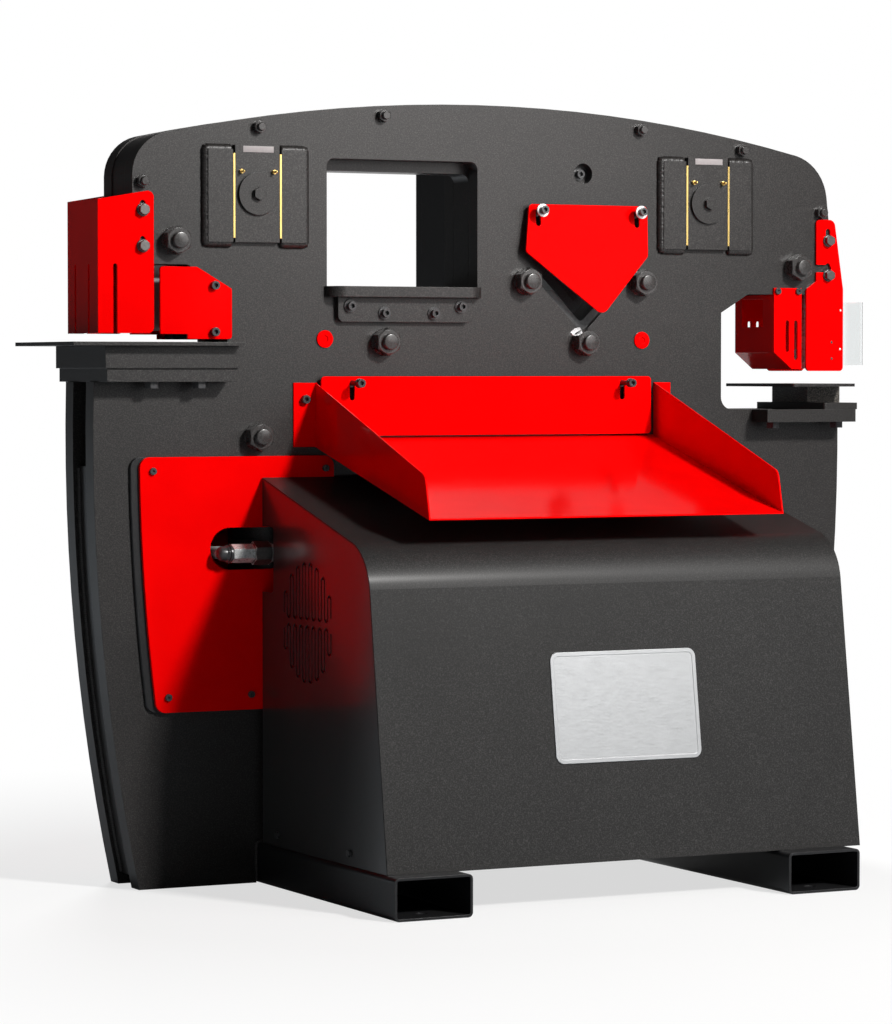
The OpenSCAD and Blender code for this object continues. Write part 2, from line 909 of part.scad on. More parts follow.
module grease_fittings() {
  color(brass_gold) on_frame() both_faces() for (x = guide_places, side = [-1, 1]) {
    hex_y(x + side * zerk_reach, guide_height + zerk_up, -slide_proud - zerk_base_height, -slide_proud,
      zerk_base);
    rod_y(x + side * zerk_reach, guide_height + zerk_up, -slide_proud - zerk_length, -slide_proud, zerk_neck);
    translate([x + side * zerk_reach, -slide_proud - zerk_length, guide_height + zerk_up]) sphere(d = zerk_ball);
  }
}

// Beam that slides down between the side plates
module beam_slot(p, d) upright_slot(p.x, p.y, p.y + stroke, d + 2 * sleeve_gap);
module angle_gap(rise) {
  half = angle_half - blade_gap;
  polygon([[angle_x, angle_z - half], [angle_x + half, angle_z], [angle_x + half, angle_z + rise],
    [angle_x, angle_z - half + rise], [angle_x - half, angle_z + rise], [angle_x - half, angle_z]]);
}
module beam_outline() {
  intersection() {
    translate(arch_middle) circle(arch_radius - beam_top_inset, $fn = arc_facets);
    polygon([
      [-beam_left, frame_height], [beam_right_shoulder, frame_height],
      [beam_right_shoulder, frame_height - beam_shoulder_drop],
      [beam_right_slope, frame_height - beam_nose_drop], [punch_x + beam_nose_out, frame_height - beam_nose_drop],
      [punch_x + beam_nose_out, punch_arm_floor], [punch_x - punch_arm_in, punch_arm_floor],
      [punch_x - punch_arm_in, arm_underside], [beam_body_right, arm_underside],
      [beam_body_right, beam_floor], [-shear_left, beam_floor], [-shear_left, rod_seat_height],
      [-beam_body_left, rod_seat_height], [-beam_body_left, left_arm_floor], [-beam_left, left_arm_floor]
    ]);
  }
}
module beam() {
  thickness = plate_gap - 2 * beam_gap;
  color(charcoal) on_frame() difference() {
    along_y(gap_front + beam_gap, thickness) difference() {
      beam_outline();
      window_area(window_floor - travel_margin, window_top - tool_edge_drop);
      angle_gap(angle_daylight);
      for (p = tie_places) beam_slot(p, tie_sleeve);
      for (p = stud_places) beam_slot(p, stud_sleeve);
      for (x = guide_places) translate([x, guide_height]) circle(d = guide_pin + 2 * press_fit);
    }
    along_y(gap_front - overrun, overrun + beam_gap + angle_blade_depth)
      angle_gap(angle_daylight + blade_band * sqrt(2));
  }
}
module upper_angle_blade() {
  color(bright_steel) on_frame() along_y(gap_front + beam_gap, angle_blade_depth) difference() {
    angle_gap(angle_daylight + blade_band * sqrt(2));
    angle_gap(angle_daylight);
  }
}
module lower_angle_blade() {
  color(bright_steel) on_frame() along_y(angle_blade_front, plate_thickness - angle_blade_front) difference() {
    intersection() {
      diamond(angle_half, angle_corner);
      area([angle_x - angle_half, angle_z - angle_half], [angle_x + angle_half, angle_z - blade_band]);
    }
    diamond(angle_half - blade_band * sqrt(2), angle_corner);
  }
}
module upper_plate_blade() {
  color(bright_steel) on_frame() block(
    [-shear_left, mid_y + blade_gap / 2, beam_floor - blade_height],
    [shear_length - shear_left, mid_y + blade_gap / 2 + blade_thickness, beam_floor]);
}
module lower_plate_blade() {
  color(bright_steel) on_frame() block(
    [-shear_left, mid_y - blade_gap / 2 - blade_thickness, bed_top],
    [shear_length - shear_left, mid_y - blade_gap / 2, shear_height]);
}

// Tool table in the window
module tool_table() {
  color(charcoal) on_frame() {
    block([-window_left + window_side_fit, -overrun, window_floor],
      [window_right - window_side_fit, frame_thickness + overrun, tool_table_top]);
    both_faces() along_z(window_floor, tool_table_top - window_floor) rounded(
      [[-window_left - table_side_lip, 0], [-window_left - table_side_lip, -table_lip],
       [window_right + table_side_lip, -table_lip], [window_right + table_side_lip, 0]],
      [0, table_lip * table_corner_share, table_lip * table_corner_share, 0]);
  }
}
module tool_table_brackets() {
  color(charcoal) on_frame() both_faces() along_y(-bracket_proud, bracket_proud) rounded(
    [[-window_left + bracket_inset, window_floor - bracket_drop],
     [window_right - bracket_inset, window_floor - bracket_drop],
     [window_right - bracket_inset, window_floor], [-window_left + bracket_inset, window_floor]],
    [bracket_corner, bracket_corner, 0, 0]);
}

// Notcher station on the left
module notcher_support() {
  step_low = support_floor;
  tier_low = support_floor + support_step;
  color(charcoal) on_frame() difference() {
    union() {
      block([-support_left, -support_front, tier_low],
        [-support_right, frame_thickness + support_front, support_top]);
      block([-support_left + support_step_inset, -support_front + support_step_inset, step_low],
        [-support_right, frame_thickness + support_front - support_step_inset, tier_low + overrun]);
    }
    block([notch_die_x0 - hole_slack, notch_die_y0 - hole_slack, notch_table_top - notch_die_depth],
      [notch_die_x1 + hole_slack, notch_die_y1 + hole_slack, support_top + overrun]);
    block([notch_x0, notch_y0, step_low - overrun], [notch_x1, notch_y1, support_top]);
  }
}
module notcher_table() {
  low = notch_table_top - notch_table_thickness;
  color(charcoal) on_frame() difference() {
    block([-notch_table_left, -notch_table_front, low],
      [-notch_table_right, frame_thickness + notch_table_front, notch_table_top]);
    block([notch_die_x0 - hole_slack, notch_die_y0 - hole_slack, low - overrun],
      [notch_die_x1 + hole_slack, notch_die_y1 + hole_slack, notch_table_top + overrun]);
    block([-support_right - weld_gap, -weld_gap, low - overrun],
      [-notch_table_right + overrun, frame_thickness + weld_gap, notch_table_top + overrun]);
  }
}
module notcher_die() {
  color(bright_steel) on_frame() difference() {
    block([notch_die_x0, notch_die_y0, notch_table_top - notch_die_depth],
      [notch_die_x1, notch_die_y1, notch_table_top]);
    block([notch_x0 - bore_slack, notch_y0 - bore_slack, notch_table_top - notch_die_depth - overrun],
      [notch_x1 + bore_slack, notch_y1 + bore_slack, notch_table_top + overrun]);
  }
}
module notcher_clamp_bolts() {
  color(black_steel) on_frame() both_faces() for (s = clamp_bolt_shares)
    translate([-support_left + s * (support_left - support_right), -clamp_bolt_out,
        support_floor - clamp_bolt_length])
      cylinder(d = clamp_bolt_flats / cos(30), h = clamp_bolt_length, $fn = 6);
}
module notcher_blade() {
  color(bright_steel) on_frame() block([notch_x0, notch_y0, notch_table_top + notch_daylight],
    [notch_x1, notch_y1, left_arm_floor]);
}
module notcher_inner_guards() {
  color(red_coat) on_frame() both_faces() along_y(-guard_sheet, guard_sheet) difference() {
    rounded([
      [-inner_guard_left, inner_guard_low], [-inner_guard_right, inner_guard_low],
      [-inner_guard_right, inner_guard_high - inner_guard_chamfer_z],
      [-inner_guard_right - inner_guard_chamfer_x, inner_guard_high], [-inner_guard_left, inner_guard_high]],
      [0, inner_guard_corner, inner_guard_corner, inner_guard_corner, inner_guard_corner]);
    area([-inner_guard_left - overrun, inner_guard_low - overrun],
      [-inner_guard_left + inner_guard_step_x, inner_guard_low + inner_guard_step_z]);
    for (s = inner_guard_screw_shares)
      translate([-inner_guard_right - inner_guard_screw_in, inner_guard_row(s)])
        circle(d = cap_shank + 2 * hole_slack);
  }
}
module notcher_guard() {
  out = guard_stand + guard_sheet;
  depth = frame_thickness + 2 * out;
  high_slot = notch_guard_low + sight_slot_length;
  color(red_coat) on_frame() {
    both_faces() along_y(-out, guard_sheet) difference() {
      rounded([[-notch_guard_left, notch_guard_low], [-notch_guard_right, notch_guard_low],
        [-notch_guard_right, notch_guard_high_right], [-notch_guard_left, notch_guard_high_left]],
        [0, notch_guard_corner, notch_guard_corner, 0]);
      upright_slot(-notch_guard_left + sight_slot_in, notch_guard_low - overrun, high_slot, sight_slot_width);
      for (z = [notch_guard_bolt_low, notch_guard_bolt_high])
        upright_slot(-notch_guard_bolt_x, z, z + notch_guard_travel, hex_shank + 2 * slide_gap);
    }
    along_x(-notch_guard_left, guard_sheet) difference() {
      area([-out, notch_guard_low], [frame_thickness + out, notch_guard_high_left]);
      for (s = side_sight_shares)
        upright_slot(-out + s * depth, notch_guard_low - overrun, high_slot, sight_slot_width);
    }
  }
}

// Punch station on the right
module punch_brackets() {
  color(charcoal) on_frame() both_faces() block(
    [punch_bracket_left, -punch_bracket_proud, punch_throat_floor - punch_bracket_height],
    [punch_bracket_right, 0, punch_throat_floor]);
}
module punch_bracket_bolts() {
  color(black_steel) on_frame() both_faces() for (s = bracket_bolt_shares)
    translate([punch_bracket_left + s * (punch_bracket_right - punch_bracket_left),
        -punch_bracket_proud / 2, punch_throat_floor - punch_bracket_height - clamp_bolt_length])
      cylinder(d = clamp_bolt_flats / cos(30), h = clamp_bolt_length, $fn = 6);
}
module punch_base_plate() {
  color(charcoal) on_frame() difference() {
    along_z(punch_throat_floor, punch_base_thickness) rounded_area(
      [punch_base_left, -punch_bracket_proud], [punch_base_right, frame_thickness + punch_bracket_proud],
      punch_table_corner);
    translate([punch_x, mid_y, punch_throat_floor - overrun])
      cylinder(d = slug_bore, h = punch_base_thickness + 2 * overrun);
  }
}
module punch_die_holder() {
  low = punch_throat_floor + punch_base_thickness;
  color(charcoal) on_frame() difference() {
    block([die_holder_left, mid_y - die_holder_half_depth, low],
      [die_holder_right, mid_y + die_holder_half_depth, low + die_holder_height]);
    translate([punch_x, mid_y, low - overrun])
      cylinder(d = die_diameter + 2 * press_fit, h = die_holder_height + 2 * overrun);
  }
}
module punch_die() {
  low = punch_throat_floor + punch_base_thickness;
  color(bright_steel) on_frame() translate([punch_x, mid_y, low]) difference() {
    cylinder(d = die_diameter, h = die_top - low);
    translate([0, 0, -overrun]) cylinder(d = punch_diameter + 2 * die_slack, h = die_top - low + 2 * overrun);
    translate([0, 0, -overrun]) cylinder(d = slug_bore, h = overrun + (die_top - low) / 2);
  }
}
module punch_table() {
  color(charcoal) on_frame() along_z(punch_table_top - punch_table_thickness, punch_table_thickness) difference() {
    rounded_area([punch_table_left, -punch_table_over], [punch_table_right, frame_thickness + punch_table_over],
      punch_table_corner);
    translate([punch_x, mid_y]) circle(d = die_diameter + 2 * bore_slack);
  }
}
module punch_ram() {
  tip = die_top + punch_daylight;
  coupling_low = punch_arm_floor - ram_length - coupling_length;
  color(zinc_steel) on_frame() translate([punch_x, mid_y, 0]) {
    translate([0, 0, punch_arm_floor - ram_length]) cylinder(d = ram_diameter, h = ram_length);
    translate([0, 0, coupling_low]) cylinder(d = coupling_diameter, h = coupling_length);
    translate([0, 0, tip + 2 * punch_taper]) cylinder(d = punch_body, h = coupling_low - tip - 2 * punch_taper);
    translate([0, 0, tip + punch_taper]) cylinder(d1 = punch_diameter, d2 = punch_body, h = punch_taper);
    translate([0, 0, tip]) cylinder(d = punch_diameter, h = punch_taper);
  }
}
module punch_inner_guard() {
  tall = punch_inner_high - punch_inner_low;
  heel = [punch_inner_left, punch_inner_low + punch_inner_chamfer_z];
  toe = [punch_inner_left + punch_inner_chamfer_x, punch_inner_low];
  up = [0, guard_sheet];
  color(red_coat) on_frame() {
    both_faces() along_y(-guard_sheet, guard_sheet) difference() {
      polygon([heel, toe, [punch_inner_right, punch_inner_low],
        [punch_inner_right, punch_inner_high], [punch_inner_left, punch_inner_high]]);
      for (s = punch_inner_slot_shares)
        upright_slot(punch_inner_left + s[0] * (punch_inner_right - punch_inner_left),
          punch_inner_low + s[1] * tall + sight_slot_width / 2,
          punch_inner_low + s[2] * tall - sight_slot_width / 2, sight_slot_width);
      for (x = [punch_inner_left + punch_inner_screw_in, punch_inner_right - punch_inner_screw_in])
        translate([x, punch_throat_top + button_head / 2]) circle(d = button_shank + 2 * hole_slack);
    }
    along_x(punch_inner_left, guard_sheet) difference() {
      area([-guard_sheet, punch_inner_low + punch_inner_chamfer_z],
        [frame_thickness + guard_sheet, punch_throat_top - guard_gap]);
      area([punch_inner_window_front, punch_inner_low + punch_inner_window_low],
        [punch_inner_window_front + punch_inner_window_depth,
         punch_inner_low + punch_inner_window_low + punch_inner_window_height]);
    }
    along_y(-guard_sheet, frame_thickness + 2 * guard_sheet) polygon([heel, toe, toe + up, heel + up]);
  }
}
module punch_guard() {
  color(red_coat) on_frame() both_faces() along_y(-guard_stand - guard_sheet, guard_sheet) difference() {
    rounded([[punch_guard_left, punch_guard_low], [punch_guard_right, punch_guard_low],
      [punch_guard_right, punch_guard_shoulder], [punch_guard_neck_right, punch_guard_high],
      [punch_guard_neck_left, punch_guard_high],
      [punch_guard_neck_left, punch_guard_shoulder + punch_guard_slope], [punch_guard_left, punch_guard_shoulder]],
      [punch_guard_corner, punch_guard_corner, 0, punch_guard_top_corner, punch_guard_corner, 0,
       punch_guard_corner]);
    level_slot(punch_guard_neck_left - hook_cut_high + hook_cut_low, punch_guard_bolt_x,
      (hook_cut_low + hook_cut_high) / 2, hook_cut_high - hook_cut_low);
    for (z = [punch_guard_bolt_low, punch_guard_bolt_high])
      upright_slot(punch_guard_bolt_x, z, z + punch_guard_travel, hex_shank + 2 * slide_gap);
  }
}
module punch_shield() {
  front = -guard_stand;
  rear = frame_thickness + guard_stand;
  color(clear_sheet) on_frame() along_z(shield_low, shield_high - shield_low) difference() {
    rounded([[shield_left, front], [shield_right, front], [shield_right, rear], [shield_left, rear]],
      [0, shield_bend, shield_bend, 0]);
    rounded([[shield_left - overrun, front + shield_sheet], [shield_right - shield_sheet, front + shield_sheet],
      [shield_right - shield_sheet, rear - shield_sheet], [shield_left - overrun, rear - shield_sheet]],
      [0, shield_bend - shield_sheet, shield_bend - shield_sheet, 0]);
  }
}

// Guards that slide on posts, and the tray
angle_post_places = [angle_guard_points_left + angle_post_left, angle_guard_points_right - angle_post_right];
module angle_plane()
  translate([0, -angle_guard_stand, angle_guard_high]) rotate([-angle_guard_tilt, 0, 0]) children();
module angle_guard() {
  color(red_coat) on_frame() angle_plane() along_y(-angle_guard_sheet, angle_guard_sheet) difference() {
    rounded([[angle_guard_points_left, 0], [angle_guard_hip_left, angle_guard_hip_left_z - angle_guard_high],
      [angle_guard_tip_x, angle_guard_tip_z - angle_guard_high],
      [angle_guard_hip_right, angle_guard_hip_right_z - angle_guard_high], [angle_guard_points_right, 0]],
      [angle_guard_corner, angle_guard_corner, angle_guard_tip_corner, angle_guard_corner, angle_guard_corner]);
    for (x = angle_post_places)
      upright_slot(x, -angle_post_drop - angle_guard_travel, -angle_post_drop, cap_shank + 2 * slide_gap);
  }
}
module plate_guard() {
  color(red_coat) on_frame() along_y(-plate_guard_stand - plate_guard_sheet, plate_guard_sheet) difference() {
    rounded_area([-plate_guard_left, plate_guard_low], [plate_guard_right, plate_guard_high],
      punch_guard_corner);
    for (x = [-plate_guard_left + plate_post_in, plate_guard_right - plate_post_in])
      upright_slot(x, plate_guard_high - plate_post_drop - plate_guard_travel,
        plate_guard_high - plate_post_drop, cap_shank + 2 * slide_gap);
  }
}
module guard_post(x, z, sheet, stand, reach, washer) {
  rod_y(x, z, guard_gap, stand, post_diameter);
  washered_cap_screw(x, z, -sheet - reach, sheet + reach + guard_gap + overrun, washer);
}
module guard_posts() {
  far = 2 * angle_guard_stand;
  color(black_steel) on_frame() {
    difference() {
      angle_plane() for (x = angle_post_places)
        guard_post(x, -angle_post_drop, angle_guard_sheet, far, angle_screw_reach, cap_washer);
      block([-half_width, 0, 0], [half_width, frame_thickness, frame_height]);
    }
    translate([0, -plate_guard_stand, 0])
      for (x = [-plate_guard_left + plate_post_in, plate_guard_right - plate_post_in])
        guard_post(x, plate_guard_high - plate_post_drop, plate_guard_sheet, plate_guard_stand,
          plate_screw_reach, plate_screw_washer);
    both_faces() {
      for (z = [notch_guard_bolt_low, notch_guard_bolt_high])
        hex_screw(-notch_guard_bolt_x, z, -guard_stand - guard_sheet - guard_gap,
          guard_stand + guard_sheet + guard_gap);
      for (z = [punch_guard_bolt_low, punch_guard_bolt_high])
        hex_screw(punch_guard_bolt_x, z, -guard_stand - guard_sheet - guard_gap,
          guard_stand + guard_sheet + guard_gap);
    }
  }
}
module tray_wing() {
  rounded([[0, tray_tab_low], [0, tray_back_high], [-tray_front + tray_front_lean, tray_front_high],
    [-tray_front, tray_front_low]], [0, 0, tray_lip_corner, 0]);
}
module tray() {
  color(red_coat) on_frame() {
    along_x(-tray_left, tray_sheet) tray_wing();
    along_x(tray_right - tray_sheet, tray_sheet) tray_wing();
    along_x(-tray_left, tray_left + tray_right) polygon([[0, tray_back_low], [0, tray_back_low + tray_sheet],
      [-tray_front, tray_front_low + tray_sheet], [-tray_front, tray_front_low]]);
    along_y(-tray_sheet, tray_sheet) difference() {
      union() {
        area([-tray_left - tray_tab_left, tray_tab_low], [-tray_left + tray_sheet, tray_back_high]);
        area([tray_right - tray_sheet, tray_tab_low], [tray_right + tray_tab_right, tray_back_high]);
      }
      for (x = [-tray_left - tray_tab_left / 2, tray_right + tray_tab_right / 2])
        translate([x, tray_back_high - tray_tab_screw_drop]) circle(d = cap_shank + 2 * hole_slack);
    }
  }
}
module socket_screws() {
  bracket_left = -window_left + bracket_inset;
  bracket_length = window_width - 2 * bracket_inset;
  color(black_steel) on_frame() {
    both_faces() {
      for (s = inner_guard_screw_shares)
        cap_screw(-inner_guard_right - inner_guard_screw_in, inner_guard_row(s), -guard_sheet, guard_sheet);
      for (x = [punch_inner_left + punch_inner_screw_in, punch_inner_right - punch_inner_screw_in])
        button_screw(x, punch_throat_top + button_head / 2, -guard_sheet, guard_sheet);
    }
    both_faces() for (s = bracket_screw_shares)
      screw_head(bracket_left + s * bracket_length, window_floor - bracket_drop + bracket_screw_up, -bracket_proud);
    both_faces() for (x = [bracket_left + clamp_screw_inset, bracket_left + bracket_length - clamp_screw_inset])
      screw_head(x, window_floor - clamp_screw_drop, -bracket_proud);
    for (x = [-tray_left - tray_tab_left / 2, tray_right + tray_tab_right / 2])
      cap_screw(x, tray_back_high - tray_tab_screw_drop, -tray_sheet, tray_sheet);
    screw_head(angle_x, angle_z + adjuster_up, adjuster_depth);
  }
}
module screw_head(x, z, y) {
  rod_y(x, z, y - cap_washer_height, y, cap_washer);
  difference() {
    rod_y(x, z, y - cap_washer_height - cap_head_height, y - cap_washer_height, cap_head);
    hex_y(x, z, y - cap_washer_height - cap_head_height - overrun,
      y - cap_washer_height - cap_head_height + cap_socket_depth, cap_socket_flats);
  }
}

// Feet, hood and power unit
module foot_tubes() {
  low = -foot_front;
  high = frame_thickness + foot_rear;
  color(black_steel) on_frame() for (side = [-1, 1]) translate([side * foot_spacing / 2, 0, 0]) difference() {
    along_y(low, high - low) difference() {
      rounded_area([-foot_width / 2, 0], [foot_width / 2, foot_height], foot_corner);
      rounded_area([-foot_width / 2 + foot_wall, foot_wall], [foot_width / 2 - foot_wall, foot_height - foot_wall],
        foot_corner - foot_wall);
    }
    for (y = [low + anchor_inset, high - anchor_inset])
      translate([0, y, -overrun]) cylinder(d = anchor_hole, h = foot_wall + 2 * overrun);
  }
}
hood_back = [-hood_gap, hood_top];
hood_corner = [-hood_corner_front, hood_corner_height];
hood_foot = [-hood_foot_front, foot_height];
module hood_outer() {
  rounded([hood_back, hood_corner, hood_foot, [-hood_gap, foot_height]], [0, hood_bend, 0, 0]);
}
module hood_inner(t) {
  corner = inset_corner(hood_back, hood_corner, hood_foot, t);
  back = corner + unit(hood_back - hood_corner) * hood_corner_front;
  foot = corner + unit(hood_foot - hood_corner) * hood_corner_height;
  rounded([back, corner, foot, [back.x, foot.y]], [0, hood_bend - t, 0, 0]);
}
module hood_wrap() {
  color(charcoal) on_frame() along_x(-hood_left, hood_left + hood_right) difference() {
    hood_outer();
    hood_inner(hood_sheet);
  }
}
module half_ring(r, upward) {
  difference() {
    circle(r + vent_slot / 2);
    circle(r - vent_slot / 2);
    translate([-2 * r, upward ? -2 * r : 0]) square([4 * r, 2 * r]);
  }
}
module serpentine() {
  pitch = vent_radius / vent_count;
  low = vent_bridge / 2 + pitch / 2;
  for (i = [0 : vent_count - 1]) {
    middle = (2 * i + 1 - vent_count) * pitch;
    high = sqrt(vent_radius * vent_radius - middle * middle) - pitch / 2;
    translate([middle, high]) half_ring(pitch / 2, true);
    for (side = [-1, 1])
      area([middle + side * pitch / 2 - vent_slot / 2, low], [middle + side * pitch / 2 + vent_slot / 2, high]);
    if (i < vent_count - 1) translate([middle + pitch, low]) half_ring(pitch / 2, false);
  }
}
module hood_vents() {
  translate([-vent_middle, vent_height]) {
    serpentine();
    mirror([0, 1]) serpentine();
  }
}
module hood_side(notched) {
  difference() {
    intersection() {
      hood_inner(hood_sheet + weld_gap);
      area([-hood_foot_front, foot_height], [-hood_gap, hood_top]);
    }
    hood_vents();
    if (notched) rounded([[-hood_gap + overrun, notch_low], [-hood_gap - notch_depth, notch_low],
      [-hood_gap - notch_depth, notch_high], [-hood_gap + overrun, notch_high]],
      [0, notch_corner, notch_corner, 0]);
    for (s = hood_screw_shares) translate([-s * hood_foot_front, foot_height + hood_screw_up])
      circle(d = button_shank + 2 * hole_slack);
  }
}
module hood_sides() {
  color(charcoal) on_frame() {
    along_x(-hood_left, hood_sheet) hood_side(true);
    along_x(hood_right - hood_sheet, hood_sheet) hood_side(false);
  }
}
module panel_screws() {
  color(black_steel) on_frame() {
    both_faces() for (p = cover_screw_places) button_screw(p.x, p.y, -cover_proud, cover_proud);
    for (s = hood_screw_shares) {
      y = -s * hood_foot_front;
      z = foot_height + hood_screw_up;
      rod_x(y, z, -hood_left - button_head_height, -hood_left, button_head);
      rod_x(y, z, -hood_left, -hood_left + hood_sheet, button_shank);
      rod_x(y, z, hood_right, hood_right + button_head_height, button_head);
      rod_x(y, z, hood_right - hood_sheet, hood_right, button_shank);
    }
  }
}
function cover_edge(z) = left_side_middle.x - sqrt((side_radius - cover_inset) * (side_radius - cover_inset)
  - (z - side_bow_height) * (z - side_bow_height));
cover_screw_places = [for (s = cover_screw_shares)
  let (z = cover_low + s.y * (cover_high - cover_low), edge = cover_edge(z))
  [edge + s.x * (-cover_right - edge), z]];
module cover_shape(t) {
  radius = side_radius - cover_inset - t;
  r = cover_corner - t;
  low = cover_low + t;
  high = cover_high - t;
  right = -cover_right - t;
  difference() {
    intersection() {
      area([-reach_x, low], [right, high]);
      translate(left_side_middle) circle(radius, $fn = arc_facets);
    }
    for (z = [low + r, high - r]) {
      run = radius - r;
      rise = z - left_side_middle.y;
      centre = [left_side_middle.x - sqrt(run * run - rise * rise), z];
      arc_trim(centre, r, [centre.x, z + (z > side_bow_height / 2 + low / 2 ? r : -r)],
        on_circle(left_side_middle, radius, centre));
    }
    corner_trim([right, high], [-reach_x, high], [right, low], r);
    corner_trim([right, low], [-reach_x, low], [right, high], r);
  }
}
module cover_pan(slotted) {
  difference() {
    along_y(-cover_proud, cover_proud) cover_shape(0);
    along_y(-cover_proud + cover_sheet, cover_proud) cover_shape(cover_sheet);
    along_y(-cover_proud - overrun, cover_sheet + 2 * overrun) {
      for (p = cover_screw_places) translate(p) circle(d = button_shank + 2 * hole_slack);
      if (slotted) level_slot(-cover_slot_left, -cover_slot_right,
        port_height + cover_slot_up, cover_slot_height);
    }
  }
}
module cylinder_covers() {
  color(red_coat) on_frame() {
    cover_pan(true);
    translate([0, frame_thickness, 0]) mirror([0, 1, 0]) cover_pan(false);
  }
}
module cylinder_barrel() {
  boss_x = -cylinder_x - cylinder_diameter / 2 - port_boss_out;
  color(charcoal) on_frame() difference() {
    union() {
      translate([-cylinder_x, mid_y, barrel_low]) cylinder(d = cylinder_diameter, h = barrel_high - barrel_low);
      block([-cylinder_x - lug_width / 2, mid_y - lug_width / 2, barrel_low - lug_drop],
        [-cylinder_x + lug_width / 2, mid_y + lug_width / 2, barrel_low + overrun]);
      block([boss_x, port_depth_in - port_boss / 2, port_height - port_boss / 2],
        [-cylinder_x, port_depth_in + port_boss / 2, port_height + port_boss / 2]);
    }
    rod_y(-cylinder_x, barrel_low - lug_pin_up, 0, frame_thickness, lug_pin + 2 * press_fit);
    translate([-cylinder_x, mid_y, barrel_low + barrel_base]) cylinder(d = cylinder_diameter - 2 * barrel_wall,
      h = barrel_high - gland_height - barrel_low - barrel_base);
    translate([-cylinder_x, mid_y, barrel_low + barrel_base])
      cylinder(d = rod_diameter + 2 * run_fit, h = barrel_high - barrel_low);
  }
}
module cylinder_pin() {
  color(zinc_steel) on_frame() rod_y(-cylinder_x, barrel_low - lug_pin_up, 0, frame_thickness, lug_pin);
}
module cylinder_rod() {
  color(bright_steel) on_frame() translate([-cylinder_x, mid_y, piston_top - piston_height]) {
    cylinder(d = rod_diameter, h = rod_seat_height - piston_top + piston_height);
    cylinder(d = cylinder_diameter - 2 * barrel_wall - 2 * run_fit, h = piston_height);
  }
}
module port_fitting() {
  boss_x = -cylinder_x - cylinder_diameter / 2 - port_boss_out;
  color(zinc_steel) on_frame() {
    rod_x(port_depth_in, port_height, -port_turn_x, boss_x, port_tube);
    rod_y(-port_turn_x, port_height, -port_out, port_depth_in, port_tube);
    for (y = [-port_out, port_depth_in]) translate([-port_turn_x, y, port_height]) sphere(d = port_tube);
    rod_x(-port_out, port_height, -port_turn_x, -adapter_end, port_tube);
    hex_x(-port_out, port_height, -adapter_end - adapter_flats * sqrt(2), -adapter_end, adapter_flats);
    hex_x(-port_out, port_height, -adapter_end, -nut_end, nut_flats);
    rod_x(-port_out, port_height, -nut_end, -collar_end, collar_diameter);
  }
}
module pressure_hose() {
  color(black_steel) on_frame() rod_x(-port_out, port_height, -collar_end, -valve_left, hose_diameter);
}
module reservoir() {
  color(black_steel) on_frame() difference() {
    along_z(foot_height, tank_height)
      rounded_area([-tank_half, -tank_front], [tank_half, -tank_back], tank_corner);
    along_z(foot_height + tank_wall, tank_height - 2 * tank_wall)
      rounded_area([-tank_half + tank_wall, -tank_front + tank_wall], [tank_half - tank_wall, -tank_back - tank_wall],
        tank_corner - tank_wall);
    translate([pump_start + pump_length / 2, -motor_middle, foot_height + tank_height / 2])
      cylinder(d = suction_hole, h = tank_height);
  }
}
module valve_block() {
  low = foot_height + tank_height;
  color(zinc_steel) on_frame() {
    block([-valve_left, -valve_front, low], [-valve_right, -tank_back, port_height + valve_head]);
    for (side = [0, 1])
      rod_y(-(valve_left + valve_right) / 2, low + (1 + side) * 2 * coil_diameter,
        -valve_front - coil_length, -valve_front, coil_diameter);
  }
}
module motor_body() {
  low = foot_height + tank_height;
  end = motor_length - motor_left;
  color(charcoal) on_frame() difference() {
    union() {
      rod_x(-motor_middle, motor_axis_z, -motor_left, end, motor_diameter);
      block([-motor_left + motor_foot, -motor_middle - motor_foot_half, low],
        [end - motor_foot, -motor_middle + motor_foot_half, motor_axis_z]);
    }
    rod_x(-motor_middle, motor_axis_z, -motor_left + motor_wall, end - motor_wall,
      motor_diameter - 2 * motor_wall);
    rod_x(-motor_middle, motor_axis_z, -motor_left - overrun, end + overrun, shaft_diameter + 2 * run_fit);
  }
}
module motor_rotor() {
  end = motor_length - motor_left;
  core = motor_diameter - 4 * motor_wall;
  color(zinc_steel) on_frame() {
    rod_x(-motor_middle, motor_axis_z, -motor_left - fan_gap - fan_thickness, end + shaft_out, shaft_diameter);
    rod_x(-motor_middle, motor_axis_z, -motor_left + 2 * motor_wall, end - 2 * motor_wall, core);
    rod_x(-motor_middle, motor_axis_z, -motor_left - fan_gap - fan_thickness, -motor_left - fan_gap, fan_diameter);
    rod_x(-motor_middle, motor_axis_z, end + overrun, end + shaft_out, 2 * coupling_half);
  }
}
module pump() {
  low = foot_height + tank_height;
  color(charcoal) on_frame() {
    rod_x(-motor_middle, motor_axis_z, pump_start, pump_start + pump_length, pump_diameter);
    block([pump_start, -motor_middle - pump_foot_half, low],
      [pump_start + pump_length, -motor_middle + pump_foot_half, motor_axis_z]);
  }
}

// Stroke switch box on the back
switch_box_left = window_right + table_side_lip + switch_box_in;
module switch_outline(t) {
  rounded_area([switch_box_left + t, switch_box_low + t],
    [switch_box_left + switch_box_width - t, switch_box_high - t], switch_box_corner - t);
}
module switch_box() {
  color(black_steel) on_frame() difference() {
    along_y(frame_thickness, switch_box_depth) switch_outline(0);
    along_y(frame_thickness + switch_box_wall, switch_box_depth) switch_outline(switch_box_wall);
  }
}
module switch_box_lid() {
  color(black_steel) on_frame() along_y(frame_thickness + switch_box_depth, switch_lid_depth) switch_outline(0);
}

